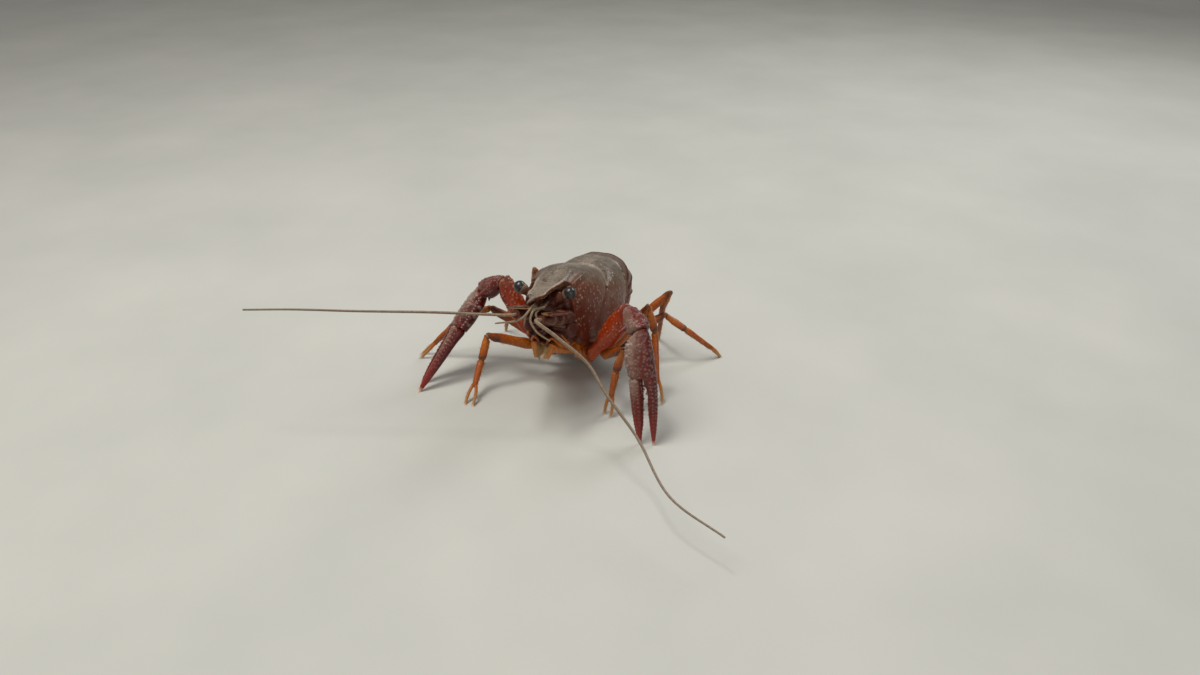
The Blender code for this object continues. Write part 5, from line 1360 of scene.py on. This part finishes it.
def claw_grid(name, shares, low, high, deep, sides):
    """Dense rings of a claw between its margins."""
    origin, axis, mesial, dorsal, length = claw_axes(name)
    turn = 2 * np.pi * (np.arange(sides) + 0.5) / sides
    c, s = np.cos(turn), np.sin(turn)
    across = column(np.sign(c) * np.abs(c) ** (2 / CLAW_POWER)) * mesial
    lift = column(np.sign(s) * np.abs(s) ** (2 / CLAW_POWER)) * dorsal
    centre = origin + (axis * length) * column(shares) + mesial * column(0.5 * (low + high))
    return centre[:, None] + (0.5 * (high - low))[:, None, None] * across + deep[:, None, None] * lift


def floor_share(name, middle):
    """Share of a claw's length at which a line at that distance to its mesial side meets the floor."""
    origin, axis, mesial, _, length = claw_axes(name)
    return -(origin[2] + middle * mesial[2]) / (axis[2] * length)


def to_floor(ring, axis):
    """A ring slid along an axis until it lies on the floor."""
    return ring - column(ring[:, 2] / axis[2]) * axis


def palm_grid(name, plane):
    """Rings of the palm and fixed finger, with each row's place on the claw and on the finger."""
    origin, axis, *_ = claw_axes(name)
    part = np.linspace(0, 1, FINGER_ROWS)
    first = FINGER_START - 0.012
    last = floor_share(name, 0.5 * (curve_at(CROTCH, 1.0) - curve_at(LATERAL, 1.0)))
    palm = np.linspace(0, first, PALM_ROWS, endpoint=False)
    shares = np.concatenate([palm, first + (last - first) * part])
    place = np.concatenate([palm, FINGER_START + (1 - FINGER_START) * part])
    finger = finger_part(place)
    high = curve_at(MESIAL, np.minimum(place, 0.4)) * (1 - finger)
    high = high + curve_at(CROTCH, np.maximum(place, 0.41)) * finger
    rings = claw_grid(name, shares, -curve_at(LATERAL, place), high, curve_at(CLAW_DEEP, place), CLAW_SIDES)
    gap = (origin + 0.5 * GAP * plane - rings[0]) @ plane / (axis @ plane)
    ease = np.clip(1 - np.arange(len(rings)) / 14, 0, 1)
    rings = rings + ease[:, None, None] * (column(gap) * axis)
    rings[-1] = to_floor(rings[-1], axis)
    return rings, place, np.concatenate([np.zeros(PALM_ROWS), part])


def finger_part(place):
    """How far a place on the claw belongs to the fixed finger."""
    return smooth_step((place - 0.372) / 0.055)


def finger_grid(name):
    """Rings of the moving finger, with each row's place on it."""
    part = np.linspace(0, 1, FINGER_ROWS)
    place = FINGER_START + (1 - FINGER_START) * part
    low, high = curve_at(FINGER_INNER, place), curve_at(FINGER_OUTER, place)
    first, last = FINGER_START - 0.02, floor_share(name, 0.5 * (low[-1] + high[-1]))
    deep = MOVING_FLATNESS * curve_at(CLAW_DEEP, place)
    rings = claw_grid(name, first + (last - first) * part, low, high, deep, FINGER_SIDES)
    rings[-1] = to_floor(rings[-1], claw_axes(name)[1])
    return rings, part


def margin_studs(name):
    """The CAD's tubercles of the palm's mesial margin, as (surface point, radius, height)."""
    origin, axis, mesial, dorsal, length = claw_axes(name)
    found = []
    for share, angle, height, radius in MARGIN_ROW:
        high, low = curve_at(MESIAL, share), -curve_at(LATERAL, share)
        half, middle = 0.5 * (high - low), 0.5 * (high + low)
        a = math.radians(angle)
        out = mesial * math.cos(a) + dorsal * math.sin(a)
        reach = 1 / math.hypot(math.cos(a) / half, math.sin(a) / curve_at(CLAW_DEEP, share))
        point = origin + axis * share * length + mesial * middle + out * reach
        found.append((point, radius * 1.35, height))
    return found


def claw_sheen_tone(name, rings, normals, dorsal, mesial, shift=0.0):
    """Painted sheen: grey-lilac tone where the faces turn toward the light, red where they turn away; shift
    moves the border to the far side.
    """
    share, lean, outer, offset = CLAW_SHEEN[name]
    facing = toward(normals, share * dorsal + lean * mesial + np.array(outer))
    across = toward(rings - rings.mean(axis=1, keepdims=True), mesial) + shift
    return 0.5 + 0.5 * np.clip(facing + offset + CLAW_SLOPE[name] * across, -1, 1)


def row_studs(rings, columns, chance):
    """A finger's rows of tubercles, which shrink to the tip, as (surface point, radius, height)."""
    found = []
    for around, gap in columns:
        at = ROW_START
        while at < ROW_STOP:
            found.append((rings[int(at * (len(rings) - 1)), around], 0.3 - 0.14 * at, 0.17 - 0.09 * at))
            at += gap * chance.uniform(0.85, 1.15)
    return found


def finger_relief(normals, part, dorsal, outer):
    """Two smooth ridges along a finger with a furrow between them."""
    up, out = toward(normals, dorsal), toward(normals, outer)
    ridge = bell(up - 0.98, 0.1) + 0.8 * bell(out - 0.92, 0.14) * (up > 0.15)
    furrow = bell(up - 0.78, 0.12) * (up > 0)
    return (0.15 * ridge - 0.12 * furrow) * column(1 - 0.72 * part)


def make_palm(name, plane, chance, skins):
    """Palm with the fixed finger."""
    _, _, mesial, dorsal, _ = claw_axes(name)
    rings, place, along = palm_grid(name, plane)
    normals = normals_of(rings)
    finger = column(finger_part(place))
    bumps, stud = tubercled(rings, normals, chance, PALM_FIELD, lambda n, s: n @ dorsal > -0.25)
    rows = margin_studs(name) + row_studs(rings[PALM_ROWS:], FIXED_ROWS, chance)
    more, spots = studs_on(rings, rows)
    few, dots = tubercled(rings, normals, chance, FIXED_FIELD, lambda n, s: n @ dorsal > -0.2)
    high = finger_relief(normals, along, dorsal, -mesial) * finger
    high = high + np.maximum(np.maximum(bumps * (1 - finger), more), few)
    high = high + (0.1 * rough(rings, 0.5) + 0.03 * rough(rings, 1.7)) * column(1 - 0.6 * along)
    high = high * column(np.clip((1 - along) / 0.04, 0, 1))
    # Painted grey sheen on the faces turned to the light, fading to red toward the fingers
    fall = (1 - 0.28 * smooth_step((place - 0.1) / 0.3)) * (1 - FINGER_FALL[name] * along**0.6)
    tone = claw_sheen_tone(name, rings, normals, dorsal, mesial) * column(fall)
    stud = np.maximum(np.maximum(0.3 * stud * (1 - finger), 0.36 * spots), 0.35 * dots)
    stud = stud * column(1 - 0.5 * along)
    shapes = [solid(raised(rings, normals, high), tone=tone, stud=stud, tip=column(along) ** 1.3)]
    shapes += claw_teeth(name, FIXED_TEETH, CROTCH, 1) + claw_teeth(name, MARGIN_TEETH, MESIAL, 1, 0.1)
    piece("palm_skin_" + name, shapes, skins["claw"], "claw", "palm_" + name)


def make_finger(name, chance, skins):
    """Moving finger of a claw."""
    _, _, mesial, dorsal, _ = claw_axes(name)
    rings, part = finger_grid(name)
    normals = normals_of(rings)
    root = 0.25 * np.clip(1 - part / 0.05, 0, 1) ** 2
    rings = rings + (rings.mean(axis=1, keepdims=True) - rings) * root[:, None, None]
    more, spots = studs_on(rings, row_studs(rings, MOVING_ROWS, chance))
    few, dots = tubercled(rings, normals, chance, MOVING_FIELD, lambda n, s: n @ dorsal > -0.2)
    high = finger_relief(normals, part, dorsal, mesial) + np.maximum(more, few)
    high = high + 0.05 * rough(rings, 0.8) * column(1 - 0.7 * part)
    high = high * column(np.clip((1 - part) / 0.04, 0, 1))
    # Painted grey sheen on the faces turned to the light, fading to red along the finger
    tone = claw_sheen_tone(name, rings, normals, dorsal, mesial, column(2.0 * (1 - smooth_step(part / 0.6))))
    tone = tone * column(0.94 - FINGER_FALL[name] * smooth_step(part / 0.65))
    stud = np.maximum(0.36 * spots, 0.35 * dots) * column(1 - 0.5 * part)
    shapes = [solid(raised(rings, normals, high), tone=tone, stud=stud, tip=column(part) ** 1.3)]
    shapes += claw_teeth(name, MOVING_TEETH, FINGER_INNER, -1)
    piece("finger_skin_" + name, shapes, skins["claw"], "claw", "finger_" + name)


def claw_teeth(name, teeth, margin, way, inset=0.0):
    """Blunt teeth on a margin of a claw, pointing to its mesial side (1) or away from it (-1)."""
    origin, axis, mesial, _, length = claw_axes(name)
    made = []
    for share, height, radius in teeth:
        edge = curve_at(margin, share) - inset - way * TOOTH_SINK
        root = origin + axis * share * length + mesial * edge
        peak = root + mesial * way * (height + TOOTH_SINK)
        made.append(cone(root, peak, radius * 1.15, 12, 8, 0.5, tone=0.45, stud=0.8, tip=0.0))
    return made


def make_arm(name, chain, planes, chance, skins):
    mesial = claw_axes(name)[2]
    rings, t = limb_rings(chain, planes, 0, ARM_WIDE, ARM_DEEP, *ARM_GRID)
    normals = normals_of(rings)
    up = normals[..., 2]
    high, stud = tubercled(rings, normals, chance, ARM_FIELD, lambda n, s: s > 0.35 and n[2] > -0.3)
    high = high + 0.1 * rough(rings, 0.45, 3) + 0.03 * rough(rings, 1.6)
    high = high + column(collar(t, 0.96, 0.1, 0.02) - collar(t, 0.25, 0.14, 0.018))
    skin = rounded(raised(rings, normals, high), t, 0.03)
    lift = np.clip((up - 0.25) * 1.2, 0, 1) * column(np.clip((t - 0.55) / 0.45, 0, 1))
    shapes = [solid(skin, tone=0.15 + ARM_DUSK[name] * column(t) + 0.5 * lift, stud=0.7 * stud)]
    shapes += limb_spines(chain[0], chain[1], ARM_WIDE, ARM_DEEP, mesial, ARM_SPINES)
    piece("arm_skin_" + name, shapes, skins["arm"], "claw", "arm_" + name)


def make_wrist(name, chain, planes, chance, skins):
    _, _, mesial, dorsal, _ = claw_axes(name)
    # Faces turned up and to the claw's back take the painted grey sheen
    top = unit(dorsal + (0, 0, 0.6))
    rings, t = limb_rings(chain, planes, 1, CARPUS_SIZE, CARPUS_SIZE, *WRIST_GRID)
    normals = normals_of(rings)
    high, stud = tubercled(rings, normals, chance, WRIST_FIELD, lambda n, s: n[2] > -0.25)
    groove = bell(toward(normals, mesial) - 0.1, 0.13) * (toward(normals, top) > 0.4)
    high = high - 0.22 * groove * column(np.sin(np.pi * t))
    high = high + 0.1 * rough(rings, 0.5, 8) + 0.03 * rough(rings, 1.6)
    skin = rounded(raised(rings, normals, high), t, 0.04)
    tone = claw_sheen_tone(name, rings, normals, top, mesial) * WRIST_SHEEN[name]
    shapes = [solid(skin, tone=tone, stud=0.36 * stud)]
    shapes += limb_spines(chain[1], chain[2], CARPUS_SIZE, CARPUS_SIZE, mesial, CARPUS_SPINES)
    piece("wrist_skin_" + name, shapes, skins["claw"], "claw", "wrist_" + name)


def make_chelipeds(skins):
    for name, side in SIDES.items():
        chain = cheliped_chain(name)
        origin, axis, mesial, _, length = claw_axes(name)
        planes = joint_normals(chain, socket_normal(1, side), axis)
        chance = random.Random(CHELIPED_SEED + side)
        make_arm(name, chain, planes, chance, skins)
        make_wrist(name, chain, planes, chance, skins)
        chance = random.Random(TUBERCLE_SEED + side)
        make_palm(name, planes[2], chance, skins)
        make_finger(name, chance, skins)
        knots = [ball(chain[k], radius, tone=tone) for k, radius, tone in CHELIPED_KNOTS]
        piece("cheliped_joints_" + name, knots, skins["membrane"], "claw")
        hinge = origin + axis * (FINGER_START + 0.004) * length + mesial * HINGE_OUT
        piece("claw_hinge_" + name, [ball(hinge, HINGE_RADIUS, tone=0.5)], skins["claw"], "claw")


# Abdomen and tail fan
def segment_outline(wide, flap):
    """Closed outline of a segment as (x, level) pairs."""
    half = [(x * wide, y * (AXIS_DEPTH - 0.05)) for x, y in TERGITE[1:]]
    half += [(x * wide, -flap if level is None else level) for x, level in UNDERSIDE]
    return [(0.0, AXIS_DEPTH - 0.05)] + half + [(0.0, UNDERSIDE_MIDDLE)] + [(-x, y) for x, y in half[::-1]]


SEGMENT_ROWS, SEGMENT_SIDES = 60, 120


def segment_section(k):
    """Section function of a segment, whose side flap hangs lowest just ahead of its middle."""

    def section(t):
        wide = TAIL_HALF_WIDTH[k] + (TAIL_HALF_WIDTH[k + 1] - TAIL_HALF_WIDTH[k]) * t
        swell = 1.0 - 0.07 * math.exp(-((t / 0.12) ** 2))
        drop = 1.6 + PLEURA[k] * math.sin(math.pi * min(1.0, 0.12 + 0.95 * t)) ** 0.8
        return closed_line(segment_outline(wide * swell, drop), SEGMENT_SIDES) * np.array([1.0, swell])

    return section


def make_abdomen(skins):
    points, planes, angles = curl()
    t = np.linspace(0, 1, SEGMENT_ROWS)
    front = smooth_step((0.2 - t) / 0.2)
    ribs = column(-0.12 * bell(t - 0.24, 0.035) + 0.17 * bell(t - 0.96, 0.03) - 0.12 * bell(t - 0.885, 0.025))
    fringes = []
    for k in range(len(PLEURA)):
        hint = dorsal_of(0.5 * (angles[k] + angles[k + 1]))
        rings = np.array(mitred(*points[k : k + 2], *planes[k : k + 2], hint, segment_section(k), t))
        # The front slides under the segment before, and the rear a little over the next
        way = unit(points[k + 1] - points[k])
        slide = 0.3 * smooth_step((t - 0.8) / 0.2) - (0.9 if k else 0.5) * front
        rings = rings + slide[:, None, None] * way
        rings = rings + (rings.mean(axis=1, keepdims=True) - rings) * (0.06 * front)[:, None, None]
        outward = normals_of(rings)
        high = ribs + 0.08 * rough(rings, 0.5) + 0.025 * rough(rings, 1.8)
        rings = rounded(raised(rings, outward, high), t, 0.04, 0.12)
        side_tone = np.clip(1 - toward(outward, hint), 0, 1)
        tone = np.clip(0.15 + (0.35 + 0.1 * k) * side_tone + 0.3 * column(bell(t - 1, 0.07)), 0, 1)
        label = f"abdomen{k + 1}"
        piece(label + "_skin", [solid(rings, tone=tone)], skins["tail"], "shell", label)
        rim = rings[-2][outward[-2] @ hint < 0.1]
        steps = rim[1:] - rim[:-1]
        dense = np.concatenate([rim[:-1] + steps * share for share in (0.0, 0.33, 0.66)])
        dense = dense[np.linalg.norm(np.tile(steps, (3, 1)), axis=1) < 1.0]
        fringes.append(hairs(dense, way - 0.5 * hint, 0.35, 0.022, tip=0.2))
    piece("abdomen_fringe", fringes, skins["hair"], "shell")
    make_tail_flesh(angles, skins)
    make_swimmerets(skins, points, angles)


def make_tail_flesh(angles, skins):
    """Flesh inside the curl, which shows between the segments."""
    turn = 2 * np.pi * np.arange(40) / 40
    core = []
    for a in np.linspace(angles[0] + 14, angles[-1], 70):
        share = (a - angles[0]) / (angles[-1] - angles[0])
        wide = float(np.interp(share * 6, range(7), TAIL_HALF_WIDTH)) * 0.91
        across = np.outer(wide * np.cos(turn), (1, 0, 0))
        core.append(curl_point(a) + across + np.outer(0.5 + 3.0 * np.sin(turn), dorsal_of(a)))
    piece("tail_flesh", [solid(np.array(core), tone=0.7)], skins["membrane"], "shell")


def make_swimmerets(skins, points, angles):
    """Small two-branched legs under the abdomen's second to fifth segments."""
    shapes = []
    for k in (1, 2, 3, 4):
        for side in (LEFT, RIGHT):
            a = 0.5 * (angles[k] + angles[k + 1])
            down, ahead = -dorsal_of(a), -heading(a)
            root = 0.5 * (points[k] + points[k + 1]) + down * 1.9 + (side * 3.3, 0, 0)
            for spread in (0.35, -0.35):
                out = np.array([side * spread, 0, 0])
                route = [root, root + down * 0.8, root + down * 1.5 + ahead * 0.9 + out * 1.6,
                         root + down * 1.7 + ahead * 2.2 + out * 2.2]
                path, places = smooth_path(route, 30)
                t = places / places[-1]
                shapes.append(sweep(path, 0.34 - 0.2 * t, 12, tone=column(0.6 * t)))
    piece("swimmerets", shapes, skins["pale"], "shell")


LEAF_ROWS, LEAF_SIDES = 90, 88


def leaf(base, along, across, up, outline, length, thick, ribs, suture):
    """Grid of a tail leaf with ridges along it and a groove across it, and its lengthwise shares."""
    t = 1 - (1 - np.linspace(0, 1, LEAF_ROWS)) ** 1.25
    face = closed_line(LEAF_FACE + [(a, -b) for a, b in LEAF_FACE[::-1]], LEAF_SIDES)
    out = column(curve_at(outline, t)) * face[:, 0]
    lift = column(thick * (1.0 - 0.55 * t)) * face[:, 1]
    rings = base + (along * length) * t[:, None, None] + out[..., None] * across + lift[..., None] * up
    lines = sum(bell(face[:, 0] - rib, 0.05) for rib in ribs)
    high = 0.13 * lines * column(np.clip((0.95 - t) / 0.2, 0, 1))
    if suture:
        high = high - 0.16 * column(bell(t - suture, 0.02))
    return raised(rings, normals_of(rings), high + 0.04 * rough(rings, 0.8)), t


def fan_leaves():
    """Every leaf's name, root, ways along and across it, outline, length, thickness, ribs and groove."""
    points, _, angles = curl()
    along, up, left = heading(FAN_HEADING), dorsal_of(FAN_HEADING), np.array([1.0, 0.0, 0.0])
    base = points[-1] + along * FAN_LEAD + dorsal_of(angles[-1]) * FAN_OFFSET
    leaves = [("telson", base, along, left, TELSON, TELSON_LENGTH, TELSON_THICK, (-0.5, 0.5), 0.6)]
    for name, side in SIDES.items():
        for which, (out, spread, below, length) in FAN.items():
            a = math.radians(spread)
            way = along * math.cos(a) + left * side * math.sin(a)
            places = base + left * side * out - up * below, way, unit(np.cross(way, up))
            form = UROPOD, length, UROPOD_THICK, (-0.45, 0.0, 0.4), 0.66 * (which == "outer")
            leaves.append((f"uropod_{which}_{name}", *places, *form))
    return leaves


def make_tail_fan(skins):
    fringe = []
    for label, root, way, across, outline, length, thick, ribs, suture in fan_leaves():
        rings, t = leaf(root, way, across, dorsal_of(FAN_HEADING), outline, length, thick, ribs, suture)
        tone = 0.25 + 0.6 * column(t) ** 2
        piece(label + "_skin", [solid(rings, tone=tone)], skins["tail"], "shell", label)
        at = np.linspace(0.35, 0.995, 120)
        for sign in (-1, 1):
            roots = root + (way * length) * column(at) + sign * column(curve_at(outline, at) * 0.97) * across
            ways = way * column(0.35 + at) + sign * across * column(1.25 - at)
            fringe.append(hairs(roots, ways, 0.85, 0.03, tip=0.6))
        out = np.linspace(-0.6, 0.6, 40) * curve_at(outline, 1.0)
        roots = root + way * length * 0.995 + column(out) * across
        fringe.append(hairs(roots, way, 0.85, 0.03, tip=0.6))
    piece("tail_fringe", fringe, skins["hair"], "shell")


# Stage
# Camera: degrees to the animal's left and above the floor, and distance from the point AIM, which lies at
# AIM_PIXEL in the photo; its focal length in the photo's pixels
CAMERA_AZIMUTH, CAMERA_ELEVATION, CAMERA_DISTANCE = 21.0, 30.0, 184.0
AIM = np.array([0.0, 0.0, 18.0]) + SHIFT
AIM_PIXEL = (578.0, 295.5)
FOCAL_PIXELS, IMAGE = 866.7, (1200, 675)
SENSOR = 36.0


def make_camera():
    back = direction(CAMERA_AZIMUTH, CAMERA_ELEVATION)
    right = direction(CAMERA_AZIMUTH + 90, 0)
    up = np.cross(back, right)
    x = (AIM_PIXEL[0] - IMAGE[0] / 2) * CAMERA_DISTANCE / FOCAL_PIXELS
    y = -(AIM_PIXEL[1] - IMAGE[1] / 2) * CAMERA_DISTANCE / FOCAL_PIXELS
    place = (AIM - right * x - up * y + back * CAMERA_DISTANCE) * MM
    data = bpy.data.cameras.new("camera")
    data.sensor_width = SENSOR
    data.lens = FOCAL_PIXELS * SENSOR / IMAGE[0]
    data.clip_start, data.clip_end = 0.005, 20.0
    obj = bpy.data.objects.new("camera", data)
    turn = Matrix([right, up, back]).transposed().to_4x4()
    obj.matrix_world = Matrix.Translation(Vector(place)) @ turn
    bpy.context.scene.collection.objects.link(obj)
    bpy.context.scene.camera = obj


# Name, place, aim, size in metres, power in watts and colour of the lights
LIGHTS = [
    ("key", (-0.12, -0.1, 0.42), (0, 0, 0.01), 0.26, 1.05, (1.0, 0.98, 0.94)),
    ("glint", (-0.1, 0.0, 0.46), (0, 0, 0.01), 0.07, 0.42, (1.0, 0.99, 0.97)),
    ("back", (0.16, 0.32, 0.3), (0, 0, 0.015), 0.2, 0.6, (0.97, 0.98, 1.0)),
    ("fill", (0.3, -0.3, 0.2), (0, 0, 0.01), 0.3, 0.3, (1, 1, 1)),
]
SKY, SKY_STRENGTH = (1.0, 0.98, 0.95, 1), 0.25
FLOOR_HALF = 4.0  # metres


def area_light(name, place, aim, size, power, colour):
    data = bpy.data.lights.new(name, "AREA")
    data.shape = "DISK"
    data.size = size
    data.energy = power
    data.color = colour
    obj = bpy.data.objects.new(name, data)
    obj.location = place
    obj.rotation_mode = "QUATERNION"
    obj.rotation_quaternion = (Vector(aim) - Vector(place)).to_track_quat("-Z", "Y")
    bpy.context.scene.collection.objects.link(obj)


def make_stage():
    m = Tree("floor_paper")
    colour = m.ramp(m.grain(0.02, 3.0), [(0.3, (0.5, 0.5, 0.455)), (0.7, (0.56, 0.555, 0.505))])
    m.set(Base_Color=colour, Roughness=0.75, Normal=m.bump(m.grain(1.2, 3.0), 0.02))
    mesh = bpy.data.meshes.new("floor")
    corners = [(FLOOR_HALF * x, FLOOR_HALF * y, 0.0) for x, y in ((-1, -1), (1, -1), (1, 1), (-1, 1))]
    mesh.from_pydata(corners, [], [(0, 1, 2, 3)])
    mesh.materials.append(m.material)
    floor = bpy.data.objects.new("floor", mesh)
    bpy.context.scene.collection.objects.link(floor)
    world = bpy.data.worlds.new("studio")
    world.use_nodes = True
    background = world.node_tree.nodes["Background"].inputs
    background["Color"].default_value, background["Strength"].default_value = SKY, SKY_STRENGTH
    bpy.context.scene.world = world
    for light in LIGHTS:
        area_light(*light)


def main():
    make_camera()
    make_stage()
    skins = make_skins()
    make_carapace(skins)
    make_rostrum(skins)
    make_face(skins)
    make_eyes(skins)
    make_antennae(skins)
    make_flagella(skins)
    make_antennules(skins)
    make_legs(skins)
    make_maxillipeds(skins)
    make_belly(skins)
    make_chelipeds(skins)
    make_abdomen(skins)
    make_tail_fan(skins)
    bpy.context.scene.view_settings.view_transform = "Standard"


main()
